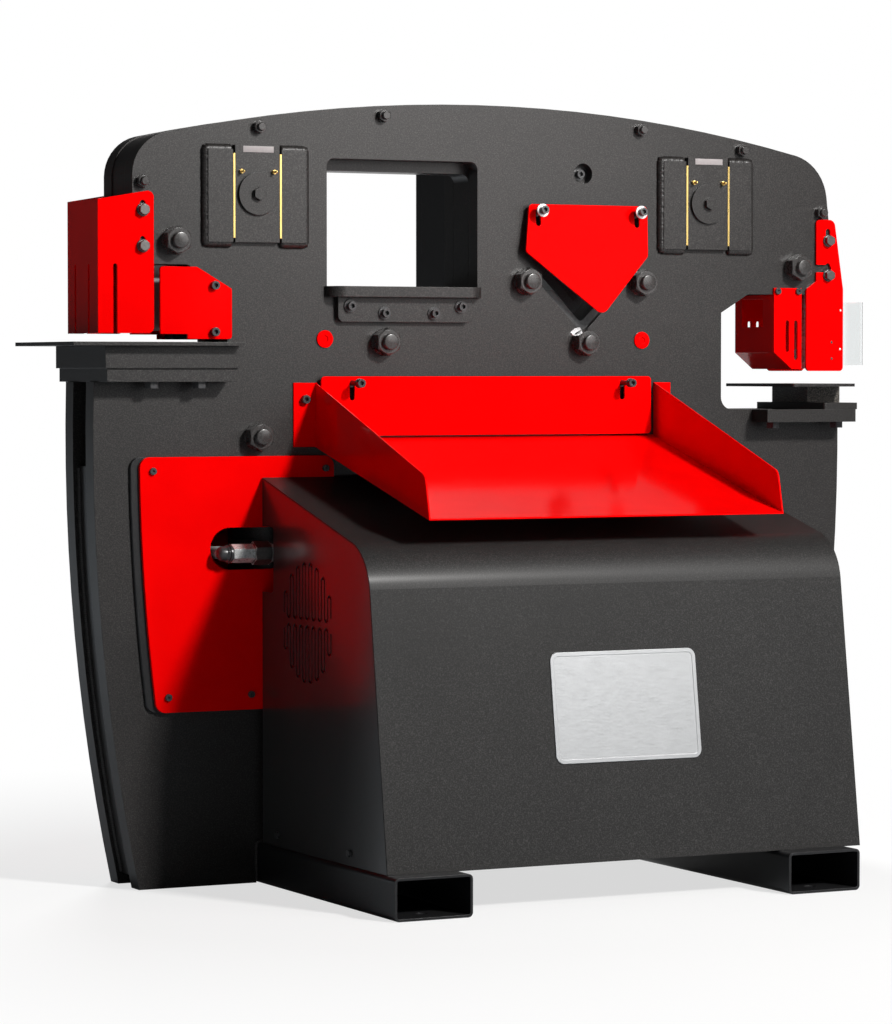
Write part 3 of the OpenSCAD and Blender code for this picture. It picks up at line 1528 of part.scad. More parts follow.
front_side_plate();
rear_side_plate();
edge_spacers();
lower_bed();
top_cover_strip();
perimeter_studs();
tie_bolts();
slide_gibs();
brass_wear_strips();
foot_tubes();
hood_wrap();
hood_sides();
panel_screws();
cylinder_covers();
cylinder_barrel();
cylinder_pin();
port_fitting();
pressure_hose();
reservoir();
motor_body();
pump();
valve_block();
switch_box();
switch_box_lid();
tool_table();
tool_table_brackets();
socket_screws();
hole_plugs();
lower_plate_blade();
lower_angle_blade();
notcher_table();
notcher_support();
notcher_die();
notcher_clamp_bolts();
notcher_inner_guards();
punch_brackets();
punch_base_plate();
punch_die_holder();
punch_die();
punch_table();
punch_bracket_bolts();
punch_inner_guard();
tray();
guard_posts();
beam();
guide_pins();
slide_blocks();
slide_retainers();
grease_fittings();
upper_plate_blade();
upper_angle_blade();
notcher_blade();
punch_ram();
cylinder_rod();
motor_rotor();
angle_guard();
plate_guard();
notcher_guard();
punch_guard();
punch_shield();
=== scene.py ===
"""Looks of the hydraulic ironworker: coats, metals, welds, nuts, bare plates, light and camera.

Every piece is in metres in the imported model's frame: X to the right, Y to the back, Z up.
"""

from __future__ import annotations

import logging
import math
from dataclasses import dataclass, field
from enum import Enum

import bmesh
import bpy
from mathutils import Euler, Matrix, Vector


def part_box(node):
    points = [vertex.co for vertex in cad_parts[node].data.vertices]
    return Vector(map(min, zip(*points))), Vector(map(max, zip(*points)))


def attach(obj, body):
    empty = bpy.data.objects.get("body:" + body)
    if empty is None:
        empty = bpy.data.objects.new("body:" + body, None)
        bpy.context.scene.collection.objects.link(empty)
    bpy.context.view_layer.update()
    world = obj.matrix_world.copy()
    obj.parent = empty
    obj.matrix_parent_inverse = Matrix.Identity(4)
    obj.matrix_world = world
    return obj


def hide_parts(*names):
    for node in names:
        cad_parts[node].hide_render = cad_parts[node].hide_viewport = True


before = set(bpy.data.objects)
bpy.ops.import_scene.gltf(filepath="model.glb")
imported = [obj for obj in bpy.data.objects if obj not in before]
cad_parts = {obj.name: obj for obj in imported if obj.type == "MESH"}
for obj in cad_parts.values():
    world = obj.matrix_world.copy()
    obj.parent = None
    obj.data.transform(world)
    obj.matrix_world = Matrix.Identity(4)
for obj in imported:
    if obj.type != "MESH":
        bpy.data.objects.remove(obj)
LOG = logging.getLogger("ironworker")
MM = 0.001

# A point in space, a pair of numbers such as X and Z on a face, and a colour with its alpha.
Point = tuple[float, float, float]
Spot = tuple[float, float]
Colour = tuple[float, float, float, float]
Socket = bpy.types.NodeSocket

WHITE: Colour = (1.0, 1.0, 1.0, 1.0)

# The frame's outline: an arched top on bowed sides, with the two guides of the beam.
FRAME_HEIGHT = 1.462
FRAME_HALF = 0.8
ARCH_RADIUS = 3.14
BOW_RADIUS = 3.96
BOW_HEIGHT = 0.83
GUIDES: Spot = (-0.477, 0.490)

# Nuts and threads, as shares of their own sizes.
CROWN_SHARE = 0.96
NUT_CHAMFER = math.radians(30.0)
THREAD_START_SHARE = 0.9
THREAD_TURN_SHARES = ((1.0, 0.3), (1.0, 0.55), (0.93, 0.85))
THREAD_TIP_SHARE = 0.82

# Angles, in degrees, past which an edge stays sharp.
SHARP = 32.0
SHARP_NUT = 20.0
SHARP_FITTING = 25.0


class Body(Enum):
    """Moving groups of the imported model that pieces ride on."""

    FRAME = "frame"
    BEAM = "beam"
    PUNCH_GUARD = "punch_guard"


class Face(Enum):
    """The two outer faces of the frame, with the direction that each points to along Y."""

    FRONT = -1
    REAR = 1

    def plate(self) -> tuple[Vector, Vector]:
        """Low and high corner of this face's side plate."""
        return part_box("front_side_plate" if self is Face.FRONT else "rear_side_plate")

    def plane(self) -> float:
        """Y of this face."""
        return self.plate()[self is Face.REAR].y

    def inside(self) -> float:
        """Y of the other side of this face's plate."""
        return self.plate()[self is Face.FRONT].y


class Desk:
    """Builds a shader tree with short calls."""

    def __init__(self, tree: bpy.types.NodeTree) -> None:
        """Empties the tree.

        Args:
            tree: a material's or a world's tree.
        """
        self.tree = tree
        tree.nodes.clear()

    def add(self, kind: str, **settings: object) -> bpy.types.Node:
        """Adds a node.

        Args:
            kind: the node's type name.
            settings: attributes to set, or input values by socket name with spaces as underscores.

        Returns:
            The new node.
        """
        node = self.tree.nodes.new(kind)
        for key, value in settings.items():
            if hasattr(node, key):
                setattr(node, key, value)
            else:
                node.inputs[key.replace("_", " ")].default_value = value
        return node

    def link(self, source: object, target: Socket) -> None:
        """Links an output to an input, or sets the input to a plain value.

        Args:
            source: an output socket or a value.
            target: the input.
        """
        if isinstance(source, bpy.types.NodeSocket):
            self.tree.links.new(source, target)
        else:
            target.default_value = source

    def join(self, operation: str, first: Socket, second: Socket) -> Socket:
        """Works out a sum of two values.

        Args:
            operation: the kind of sum, as a Math node names it.
            first: the first value.
            second: the second value.

        Returns:
            The result's socket.
        """
        node = self.add("ShaderNodeMath", operation=operation)
        self.link(first, node.inputs[0])
        self.link(second, node.inputs[1])
        return node.outputs[0]

    def span(self, value: Socket, low: float, high: float, start: float = 0.3, end: float = 0.7) -> Socket:
        """Maps a grey value onto a range.

        Args:
            value: the value to map.
            low: result at start.
            high: result at end.
            start: value that gives low.
            end: value that gives high.

        Returns:
            The mapped value's socket.
        """
        node = self.add("ShaderNodeMapRange", From_Min=start, From_Max=end, To_Min=low, To_Max=high)
        self.link(value, node.inputs["Value"])
        return node.outputs["Result"]


class MaterialDesk(Desk):
    """Builds one material round a Principled shader."""

    EDGE_BAND: Spot = (0.86, 0.985)

    def __init__(self, name: str) -> None:
        """Starts the material with its shader and output.

        Args:
            name: the material's name.
        """
        self.material = bpy.data.materials.new(name)
        self.material.use_nodes = True
        super().__init__(self.material.node_tree)
        self.output = self.add("ShaderNodeOutputMaterial")
        self.shader = self.add("ShaderNodeBsdfPrincipled")
        self.link(self.shader.outputs[0], self.output.inputs["Surface"])

    def set(self, **values: object) -> None:
        """Sets or links the shader's inputs by name, with spaces as underscores."""
        for key, value in values.items():
            self.link(value, self.shader.inputs[key.replace("_", " ")])

    def coordinates(self, stretch: Point = (1.0, 1.0, 1.0)) -> Socket:
        """Object coordinates, stretched along each axis.

        Args:
            stretch: scale of the pattern along X, Y and Z.

        Returns:
            The vector socket.
        """
        place = self.add("ShaderNodeTexCoord")
        mapping = self.add("ShaderNodeMapping", Scale=stretch)
        self.link(place.outputs["Object"], mapping.inputs["Vector"])
        return mapping.outputs["Vector"]

    def noise(self, vector: Socket, scale: float, detail: float = 2.0) -> Socket:
        """A noise pattern's grey value.

        Args:
            vector: where the pattern is read.
            scale: waves per metre.
            detail: how many finer layers are added.

        Returns:
            The value socket.
        """
        node = self.add("ShaderNodeTexNoise", Scale=scale, Detail=detail, Roughness=0.6)
        self.link(vector, node.inputs["Vector"])
        return node.outputs[0]

    def blend(self, share: object, first: object, second: object, mode: str = "MIX") -> Socket:
        """Mixes two colours, each a colour or a socket.

        Args:
            share: how much of the second colour shows.
            first: colour where share is 0.
            second: colour where share is 1.
            mode: how the colours are mixed.

        Returns:
            The colour socket.
        """
        node = self.add("ShaderNodeMix", data_type="RGBA", blend_type=mode)
        for number, value in ((0, share), (6, first), (7, second)):
            self.link(value, node.inputs[number])
        return node.outputs[2]

    def edges(self, radius: float) -> tuple[Socket, Socket]:
        """Softened normals at the edges, and a mask that is 1 on the edges.

        Args:
            radius: how far an edge is softened, in metres.

        Returns:
            The normal socket and the mask socket.
        """
        soft = self.add("ShaderNodeBevel", samples=4, Radius=radius).outputs["Normal"]
        flat = self.add("ShaderNodeNewGeometry").outputs["Normal"]
        dot = self.add("ShaderNodeVectorMath", operation="DOT_PRODUCT")
        self.link(soft, dot.inputs[0])
        self.link(flat, dot.inputs[1])
        return soft, self.span(dot.outputs["Value"], 1.0, 0.0, *self.EDGE_BAND)

    def bump(self, height: Socket, strength: float, distance: float, normal: Socket | None = None) -> None:
        """Gives the shader a bump.

        Args:
            height: the height pattern.
            strength: share of the bump that shows.
            distance: depth of the pattern in metres.
            normal: normals to start from, if any.
        """
        node = self.add("ShaderNodeBump", Strength=strength, Distance=distance)
        self.link(height, node.inputs["Height"])
        if normal is not None:
            self.link(normal, node.inputs["Normal"])
        self.set(Normal=node.outputs["Normal"])


@dataclass(frozen=True)
class PowderCoat:
    """Fine textured powder coat on plate and sheet."""

    name: str
    colour: Colour
    speck: Colour
    # Lighter colour laid on the edges: part edge wear, part painted highlight along the edges.
    wear_and_highlight: Colour
    roughness: float = 0.36
    shine: float = 0.42
    coat: float = 0.0
    coat_roughness: float = 0.16
    grain: float = 430.0
    depth: float = 0.14 * MM
    edge: float = 1.6 * MM
    speck_band: Spot = (0.46, 0.74)
    cloud_scale: float = 5.0
    cloud_tone: Spot = (0.88, 1.08)
    wear_and_highlight_scale: float = 38.0
    wear_and_highlight_band: Spot = (0.42, 0.68)
    wear_and_highlight_most: float = 0.65
    relief: float = 0.2
    roughness_swing: Spot = (-0.06, 0.1)

    def build(self) -> bpy.types.Material:
        """Makes the material, with specks, soft clouds and lighter edges that are part wear, part painted edge
        highlight.

        Returns:
            The material.
        """
        desk = MaterialDesk(self.name)
        place = desk.coordinates()
        specks = desk.noise(place, self.grain, detail=3.0)
        clouds = desk.noise(place, self.cloud_scale, detail=3.0)
        normal, rim = desk.edges(self.edge)
        coat = desk.blend(desk.span(specks, 0.0, 1.0, *self.speck_band), self.colour, self.speck)
        tone = desk.add("ShaderNodeCombineColor")
        for socket in ("Red", "Green", "Blue"):
            desk.link(desk.span(clouds, *self.cloud_tone), tone.inputs[socket])
        shaded = desk.blend(1.0, coat, tone.outputs[0], "MULTIPLY")
        wear_and_highlight_noise = desk.noise(place, self.wear_and_highlight_scale, detail=4.0)
        # Edge mask broken up by noise: where the lighter edge colour goes, part wear and part painted edge
        # highlight.
        wear_and_highlight = desk.join("MULTIPLY", rim, desk.span(wear_and_highlight_noise, 0.0, self.wear_and_highlight_most, *self.wear_and_highlight_band))
        desk.bump(specks, self.relief, self.depth, normal)
        desk.set(Base_Color=desk.blend(wear_and_highlight, shaded, self.wear_and_highlight),
                 Roughness=desk.span(specks, *(self.roughness + part for part in self.roughness_swing)),
                 Specular_IOR_Level=self.shine, Coat_Weight=self.coat, Coat_Roughness=self.coat_roughness)
        return desk.material


@dataclass(frozen=True)
class GlossCoat:
    """Glossy powder coat with a faint orange peel."""

    name: str
    colour: Colour
    deep: Colour
    tint: Colour
    shine: float = 0.15
    peel_scale: float = 130.0
    peel_depth: float = 0.1 * MM
    relief: float = 0.05
    roughness: Spot = (0.1, 0.15)
    cloud_scale: float = 7.0
    edge: float = 1.0 * MM

    def build(self) -> bpy.types.Material:
        """Makes the material, with two tones in soft clouds.

        Returns:
            The material.
        """
        desk = MaterialDesk(self.name)
        place = desk.coordinates()
        peel = desk.noise(place, self.peel_scale, detail=1.0)
        clouds = desk.noise(place, self.cloud_scale, detail=2.0)
        normal, _ = desk.edges(self.edge)
        desk.bump(peel, self.relief, self.peel_depth, normal)
        desk.set(Base_Color=desk.blend(desk.span(clouds, 0.0, 1.0), self.colour, self.deep),
                 Roughness=desk.span(peel, *self.roughness), Specular_IOR_Level=self.shine,
                 Specular_Tint=self.tint)
        return desk.material


@dataclass(frozen=True)
class MetalFinish:
    """Bare, plated or painted metal with streaks along one axis."""

    name: str
    colour: Colour
    dark: Colour
    roughness: float
    stretch: Point = (1.0, 1.0, 1.0)
    scale: float = 160.0
    metal: float = 1.0
    shine: float = 0.5
    edge: float = 0.8 * MM
    cloud_scale: float = 24.0
    cloud_shares: Spot = (0.35, 1.0)
    streak_depth: float = 0.08 * MM
    relief: float = 0.08
    roughness_swing: Spot = (-0.07, 0.09)

    def build(self) -> bpy.types.Material:
        """Makes the material, with dark streaks in soft clouds.

        Returns:
            The material.
        """
        desk = MaterialDesk(self.name)
        streaks = desk.noise(desk.coordinates(self.stretch), self.scale, detail=4.0)
        clouds = desk.noise(desk.coordinates(), self.cloud_scale, detail=3.0)
        normal, _ = desk.edges(self.edge)
        share = desk.join("MULTIPLY", desk.span(streaks, 0.0, 1.0), desk.span(clouds, *self.cloud_shares))
        desk.bump(streaks, self.relief, self.streak_depth, normal)
        desk.set(Base_Color=desk.blend(share, self.colour, self.dark),
                 Roughness=desk.span(streaks, *(self.roughness + part for part in self.roughness_swing)),
                 Metallic=self.metal, Specular_IOR_Level=self.shine)
        return desk.material


@dataclass(frozen=True)
class ClearSheet:
    """Clear bent plastic sheet with faint wipe marks."""

    name: str
    colour: Colour
    wipe_stretch: Point = (1.0, 1.0, 6.0)
    wipe_scale: float = 26.0
    roughness: Spot = (0.02, 0.09)

    def build(self) -> bpy.types.Material:
        """Makes the material, which lets all light through.

        Returns:
            The material.
        """
        desk = MaterialDesk(self.name)
        wipes = desk.noise(desk.coordinates(self.wipe_stretch), self.wipe_scale, detail=5.0)
        desk.set(Base_Color=self.colour, Roughness=desk.span(wipes, *self.roughness), Transmission_Weight=1.0,
                 IOR=1.45)
        return desk.material


@dataclass(frozen=True)
class RubberFinish:
    """Matt hose rubber with a cloth-wrapped surface."""

    name: str
    colour: Colour
    pale: Colour
    wrap_scale: float = 420.0
    wrap_depth: float = 0.3 * MM
    relief: float = 0.3
    roughness: float = 0.62

    def build(self) -> bpy.types.Material:
        """Makes the material, with the wrap's paler threads.

        Returns:
            The material.
        """
        desk = MaterialDesk(self.name)
        wrap = desk.noise(desk.coordinates(), self.wrap_scale, detail=2.0)
        desk.bump(wrap, self.relief, self.wrap_depth)
        desk.set(Base_Color=desk.blend(desk.span(wrap, 0.0, 1.0), self.colour, self.pale),
                 Roughness=self.roughness)
        return desk.material


class Coat(Enum):
    """Every finish on the machine."""

    # The third colour of each powder coat is laid on its edges: part wear, part painted edge highlight.
    CHARCOAL = PowderCoat(
        "charcoal_texture_coat", (0.011, 0.01, 0.0096, 1), (0.054, 0.049, 0.0475, 1), (0.13, 0.12, 0.115, 1))
    HOOD = PowderCoat(
        "charcoal_hood_coat", (0.01, 0.0097, 0.0095, 1), (0.046, 0.0445, 0.0437, 1), (0.13, 0.125, 0.12, 1),
        roughness=0.55, shine=0.22, coat=0.14, coat_roughness=0.24)
    CABINET = PowderCoat(
        "charcoal_side_coat", (0.016, 0.0155, 0.0155, 1), (0.05, 0.048, 0.048, 1), (0.13, 0.12, 0.115, 1),
        coat=0.75)
    # Pale tan specks on the dark cast coat: painted sparkle, glints of light laid into the colour.
    CAST = PowderCoat(
        "cast_coat_painted_sparkle", (0.012, 0.011, 0.011, 1), (0.3, 0.27, 0.23, 1), (0.13, 0.12, 0.115, 1))
    BLACK = PowderCoat(
        "black_satin_coat", (0.008, 0.008, 0.009, 1), (0.018, 0.018, 0.019, 1), (0.1, 0.1, 0.1, 1))
    RED = GlossCoat(
        "red_gloss_coat", (0.9, 0.0008, 0.001, 1), (0.82, 0.0005, 0.0008, 1), (1.0, 0.05, 0.05, 1))
    NUT = MetalFinish(
        "painted_nut_coat", (0.042, 0.039, 0.038, 1), (0.026, 0.024, 0.0235, 1), 0.26, metal=0.0, shine=0.6,
        edge=0.4 * MM)
    BOLT = MetalFinish(
        "black_oxide_steel", (0.17, 0.16, 0.155, 1), (0.09, 0.085, 0.083, 1), 0.36, metal=0.85)
    SCREW = MetalFinish(
        "black_socket_screw", (0.045, 0.045, 0.047, 1), (0.025, 0.025, 0.027, 1), 0.3, metal=0.0)
    ZINC = MetalFinish(
        "zinc_plated_steel", (0.72, 0.73, 0.72, 1), (0.54, 0.55, 0.56, 1), 0.28, metal=0.4, shine=0.8)
    # Near-black blade steel: painted shade, the blades darkened as they look in the shade of the angle guard
    # and the slot.
    BLADE_PAINTED_SHADE = MetalFinish(
        "blade_steel_painted_shade", (0.05, 0.05, 0.052, 1), (0.022, 0.022, 0.023, 1), 0.4, (1.0, 0.2, 1.0), 260.0,
        metal=0.3)
    GROUND = MetalFinish(
        "ground_tool_steel", (0.46, 0.46, 0.47, 1), (0.36, 0.36, 0.37, 1), 0.34, (1.0, 0.2, 1.0), 260.0,
        metal=0.5)
    BRASS = MetalFinish(
        "milled_brass", (0.83, 0.6, 0.22, 1), (0.62, 0.42, 0.13, 1), 0.3, (1.0, 1.0, 0.12), 300.0)
    BARE_PLATE = MetalFinish(
        "brushed_blank_plate", (0.5, 0.51, 0.52, 1), (0.46, 0.47, 0.48, 1), 0.36, (0.03, 1.0, 1.0), 1400.0,
        metal=0.6)
    STRIP = MetalFinish(
        "blank_strip_film", (0.36, 0.33, 0.33, 1), (0.3, 0.275, 0.275, 1), 0.45, metal=0.0, shine=0.3)
    CLEAR = ClearSheet("clear_sheet", (0.96, 0.975, 0.975, 1))
    RUBBER = RubberFinish("hose_rubber", (0.014, 0.014, 0.015, 1), (0.03, 0.03, 0.032, 1))


NODE_COATS: dict[Coat, tuple[str, ...]] = {
    Coat.CHARCOAL: (
        "front_side_plate", "rear_side_plate", "edge_spacers", "lower_bed", "top_cover_strip", "slide_gibs",
        "cylinder_barrel", "tool_table", "tool_table_brackets", "notcher_table", "notcher_support",
        "punch_brackets", "punch_base_plate", "punch_table", "beam", "slide_blocks", "slide_retainers",
        "motor_body", "pump",
    ),
    Coat.HOOD: ("hood_wrap",),
    # The die holder's pale specks are painted sparkle.
    Coat.CAST: ("punch_die_holder",),
    Coat.CABINET: ("hood_sides",),
    Coat.BLACK: ("foot_tubes", "reservoir", "switch_box", "switch_box_lid"),
    Coat.RED: (
        "cylinder_covers", "hole_plugs", "notcher_inner_guards", "punch_inner_guard", "tray", "angle_guard",
        "plate_guard", "notcher_guard", "punch_guard",
    ),
    Coat.NUT: ("perimeter_studs", "tie_bolts"),
    Coat.SCREW: (
        "panel_screws", "socket_screws", "notcher_clamp_bolts", "punch_bracket_bolts", "guard_posts",
    ),
    Coat.GROUND: (
        "lower_plate_blade", "notcher_die", "punch_die", "upper_plate_blade", "notcher_blade", "guide_pins",
        "cylinder_rod",
    ),
    # The angle blades get the near-black steel: painted shade.
    Coat.BLADE_PAINTED_SHADE: ("lower_angle_blade", "upper_angle_blade"),
    Coat.ZINC: ("cylinder_pin", "port_fitting", "valve_block", "punch_ram", "motor_rotor"),
    Coat.BRASS: ("brass_wear_strips", "grease_fittings"),
    Coat.RUBBER: ("pressure_hose",),
    Coat.CLEAR: ("punch_shield",),
}


class Shape:
    """Vertices and faces of a mesh under construction."""

    def __init__(self) -> None:
        """Starts an empty shape."""
        self.points: list[Point] = []
        self.faces: list[tuple[int, ...]] = []
        self.marks: list[int] = []

    def mark(self, number: int) -> None:
        """Gives the faces that were added since the last mark this material number."""
        self.marks += [number] * (len(self.faces) - len(self.marks))

    def on_both_faces(self, half: Shape, stand: float = 0.0) -> None:
        """Adds a part on each outer face of the frame, pointing outwards.

        Args:
            half: the part, standing on Y = 0 and pointing to lower Y.
            stand: how far off the face it stands.
        """
        for face in Face:
            start = len(self.points)
            plane = face.plane() + face.value * stand
            self.points += [(x * -face.value, plane - face.value * y, z) for x, y, z in half.points]
            self.faces += [tuple(i + start for i in corners) for corners in half.faces]

    def loop(self, points: list[Point]) -> list[int]:
        """Adds a loop of points.

        Args:
            points: the points in order.

        Returns:
            The points' numbers.
        """
        start = len(self.points)
        self.points += points
        return list(range(start, len(self.points)))

    def ring(self, radii: list[float], y: float) -> list[int]:
        """Adds a closed ring of points about the Y axis.

        Args:
            radii: one radius for each point of the ring.
            y: where the ring lies along Y.

        Returns:
            The points' numbers.
        """
        step = 2.0 * math.pi / len(radii)
        return self.loop([(r * math.cos(step * i), y, r * math.sin(step * i)) for i, r in enumerate(radii)])

    def join(self, rings: list[list[int]], around: bool = False) -> None:
        """Joins loops of equal length by bands of faces.

        Args:
            rings: the loops' point numbers in order.
            around: whether the last loop leads back to the first, instead of both being closed by a face.
        """
        for first, second in zip(rings, rings[1:] + rings[:1] if around else rings[1:]):
            for i in range(len(first)):
                j = (i + 1) % len(first)
                self.faces.append((first[i], first[j], second[j], second[i]))
        if not around:
            self.faces += [tuple(rings[0]), tuple(reversed(rings[-1]))]

    def lathe(self, profile: list[Spot], sides: int = 40, around: bool = False) -> None:
        """Adds a closed turned shape about the Y axis.

        Args:
            profile: radius and place along Y, from one end to the other.
            sides: points of each ring.
            around: whether the profile is a closed line, as on a washer.
        """
        self.join([self.ring([radius] * sides, y) for radius, y in profile], around)

    def hexagon(self, flats: float, back: float, front: float, both: bool = False, sides: int = 48) -> None:
        """Adds a hexagon with chamfered corners at its front, the end at the lower Y.

        Args:
            flats: distance across the flats.
            back: Y of the back.
            front: Y of the front.
            both: whether the back is chamfered as well.
            sides: points of each ring, a multiple of six.
        """
        half, sixth = flats / 2.0, math.pi / 3.0
        radii = []
        for i in range(sides):
            turn = (2.0 * math.pi * i / sides + sixth / 2.0) % sixth
            radii.append(half / math.cos(turn - sixth / 2.0))
        crown = half * CROWN_SHARE
        rings = [self.ring([crown] * sides, back)] if both else []
        for end, way, soft in ((back, -1.0, both), (front, 1.0, True)):
            rings.append(self.ring(radii, end))
            for number, radius in zip(rings[-1], radii):
                x, y, z = self.points[number]
                self.points[number] = (x, y + soft * way * (radius - crown) * math.tan(NUT_CHAMFER), z)
        self.join(rings + [self.ring([crown] * sides, front)])

    def thread(self, radius: float, back: float, front: float, pitch: float) -> None:
        """Adds a threaded end with a chamfered tip.

        Args:
            radius: outside radius of the thread.
            back: Y where the thread starts.
            front: Y of the tip.
            pitch: distance between turns.
        """
        turns = max(2, int(abs(back - front) / pitch))
        step = (front - back) / turns
        profile = [(radius * THREAD_START_SHARE, back)]
        for i in range(turns):
            profile += [(radius * share, back + (i + place) * step) for share, place in THREAD_TURN_SHARES]
        self.lathe(profile + [(radius * THREAD_TIP_SHARE, front)], sides=32)

    def mesh(self, name: str, sharp: float | None) -> bpy.types.Mesh:
        """Turns the shape into a mesh with outward faces.

        Args:
            name: the mesh's name.
            sharp: angle in degrees past which an edge stays sharp, or nothing for flat faces.

        Returns:
            The mesh.
        """
        mesh = bpy.data.meshes.new(name)
        mesh.from_pydata(self.points, [], self.faces)
        work = bmesh.new()
        work.from_mesh(mesh)
        bmesh.ops.recalc_face_normals(work, faces=work.faces)
        work.to_mesh(mesh)
        work.free()
        if self.marks:
            mesh.polygons.foreach_set("material_index", self.marks)
        if sharp is not None:
            mesh.polygons.foreach_set("use_smooth", [True] * len(mesh.polygons))
            mesh.set_sharp_from_angle(angle=math.radians(sharp))
        mesh.update()
        return mesh


def add_object(name: str, mesh: bpy.types.Mesh) -> bpy.types.Object:
    """Links a new object with this mesh to the scene.

    Args:
        name: the object's name.
        mesh: its mesh.

    Returns:
        The object.
    """
    thing = bpy.data.objects.new(name, mesh)
    bpy.context.scene.collection.objects.link(thing)
    return thing


def points_object(name: str, points: list[Point],
                  edges: list[tuple[int, int]] | None = None) -> bpy.types.Object:
    """Makes an object of loose points, or of points joined by edges.

    Args:
        name: the object's name.
        points: the points.
        edges: pairs of point numbers, if the points are joined.

    Returns:
        The object.
    """
    mesh = bpy.data.meshes.new(name)
    mesh.from_pydata(points, edges or [], [])
    return add_object(name, mesh)


class Tree:
    """A Geometry Nodes tree with named inputs, ending in Realize Instances and Set Material."""

    def __init__(self, name: str, inputs: dict[str, str]) -> None:
        """Starts the tree.

        Args:
            name: the tree's name.
            inputs: names of the inputs, each with its socket type.
        """
        self.group = bpy.data.node_groups.new(name, "GeometryNodeTree")
        sockets = {"Geometry": "NodeSocketGeometry", **inputs, "Material": "NodeSocketMaterial"}
        for label, kind in sockets.items():
            self.group.interface.new_socket(name=label, in_out="INPUT", socket_type=kind)
        self.group.interface.new_socket(name="Geometry", in_out="OUTPUT", socket_type="NodeSocketGeometry")
        self.inputs = self.add("NodeGroupInput").outputs
        self.end = self.add("NodeGroupOutput")

    def add(self, kind: str) -> bpy.types.Node:
        """Adds a node of this kind."""
        return self.group.nodes.new(kind)

    def wire(self, *pairs: tuple[Socket, Socket]) -> None:
        """Links each pair's output to its input."""
        for source, target in pairs:
            self.group.links.new(source, target)

    def close(self, instances: Socket, smooth: bool) -> None:
        """Realizes the instances, sets their material and ends the tree.

        Args:
            instances: the instances to realize.
            smooth: whether the faces are shaded smooth.
        """
        real = self.add("GeometryNodeRealizeInstances")
        paint = self.add("GeometryNodeSetMaterial")
        last = real.outputs[0]
        if smooth:
            shade = self.add("GeometryNodeSetShadeSmooth")
            self.wire((last, shade.inputs[0]))
            last = shade.outputs[0]
        self.wire((instances, real.inputs[0]), (last, paint.inputs["Geometry"]),
                  (self.inputs["Material"], paint.inputs["Material"]), (paint.outputs[0], self.end.inputs[0]))

    def grow(self, thing: bpy.types.Object, values: dict[str, object]) -> None:
        """Runs the tree on an object and keeps the result as its plain mesh, with no modifier.

        Args:
            thing: the object that the tree starts from.
            values: the inputs' values by name.
        """
        modifier = thing.modifiers.new(self.group.name, "NODES")
        modifier.node_group = self.group
        names = {s.name: s.identifier for s in self.group.interface.items_tree if s.in_out == "INPUT"}
        for label, value in values.items():
            modifier[names[label]] = value
        bpy.context.view_layer.update()
        state = bpy.context.evaluated_depsgraph_get()
        mesh = bpy.data.meshes.new_from_object(thing.evaluated_get(state))
        thing.modifiers.remove(modifier)
        old = thing.data
        thing.data = mesh
        bpy.data.meshes.remove(old)


class ScatterTree(Tree):
    """Puts a pattern object on every point of a mesh."""

    def __init__(self) -> None:
        """Builds the tree."""
        super().__init__("pattern_on_points", {"Pattern": "NodeSocketObject", "Turn": "NodeSocketVector"})
        pattern = self.add("GeometryNodeObjectInfo")
        spread = self.add("GeometryNodeInstanceOnPoints")
        self.wire((self.inputs["Pattern"], pattern.inputs["Object"]),
                  (self.inputs["Geometry"], spread.inputs["Points"]),
                  (pattern.outputs["Geometry"], spread.inputs["Instance"]),
                  (self.inputs["Turn"], spread.inputs["Rotation"]))
        self.close(spread.outputs[0], False)


class BeadTree(Tree):
    """Lays weld ripples along the edges of a mesh."""

    SEGMENTS = 12
    RINGS = 6
    SEED = 7

    def __init__(self) -> None:
        """Builds the tree."""
        super().__init__("weld_ripples", {"Pitch": "NodeSocketFloat", "Radius": "NodeSocketFloat",
                                          "Least": "NodeSocketVector", "Most": "NodeSocketVector"})
        curve = self.add("GeometryNodeMeshToCurve")
        step = self.add("GeometryNodeResampleCurve")
        step.mode = "LENGTH"
        ripple = self.add("GeometryNodeMeshUVSphere")
        ripple.inputs["Segments"].default_value = self.SEGMENTS
        ripple.inputs["Rings"].default_value = self.RINGS
        along = self.add("GeometryNodeInputTangent")
        turn = self.add("FunctionNodeAlignEulerToVector")
        turn.axis = "Z"
        spread = self.add("GeometryNodeInstanceOnPoints")
        size = self.add("FunctionNodeRandomValue")
        size.data_type = "FLOAT_VECTOR"
        size.inputs["Seed"].default_value = self.SEED
        self.wire((self.inputs["Least"], size.inputs["Min"]), (self.inputs["Most"], size.inputs["Max"]),
                  (self.inputs["Geometry"], curve.inputs["Mesh"]), (curve.outputs[0], step.inputs["Curve"]),
                  (self.inputs["Pitch"], step.inputs["Length"]),
                  (self.inputs["Radius"], ripple.inputs["Radius"]),
                  (along.outputs[0], turn.inputs["Vector"]), (step.outputs[0], spread.inputs["Points"]),
                  (ripple.outputs[0], spread.inputs["Instance"]),
                  (turn.outputs[0], spread.inputs["Rotation"]), (size.outputs[0], spread.inputs["Scale"]))
        self.close(spread.outputs[0], True)


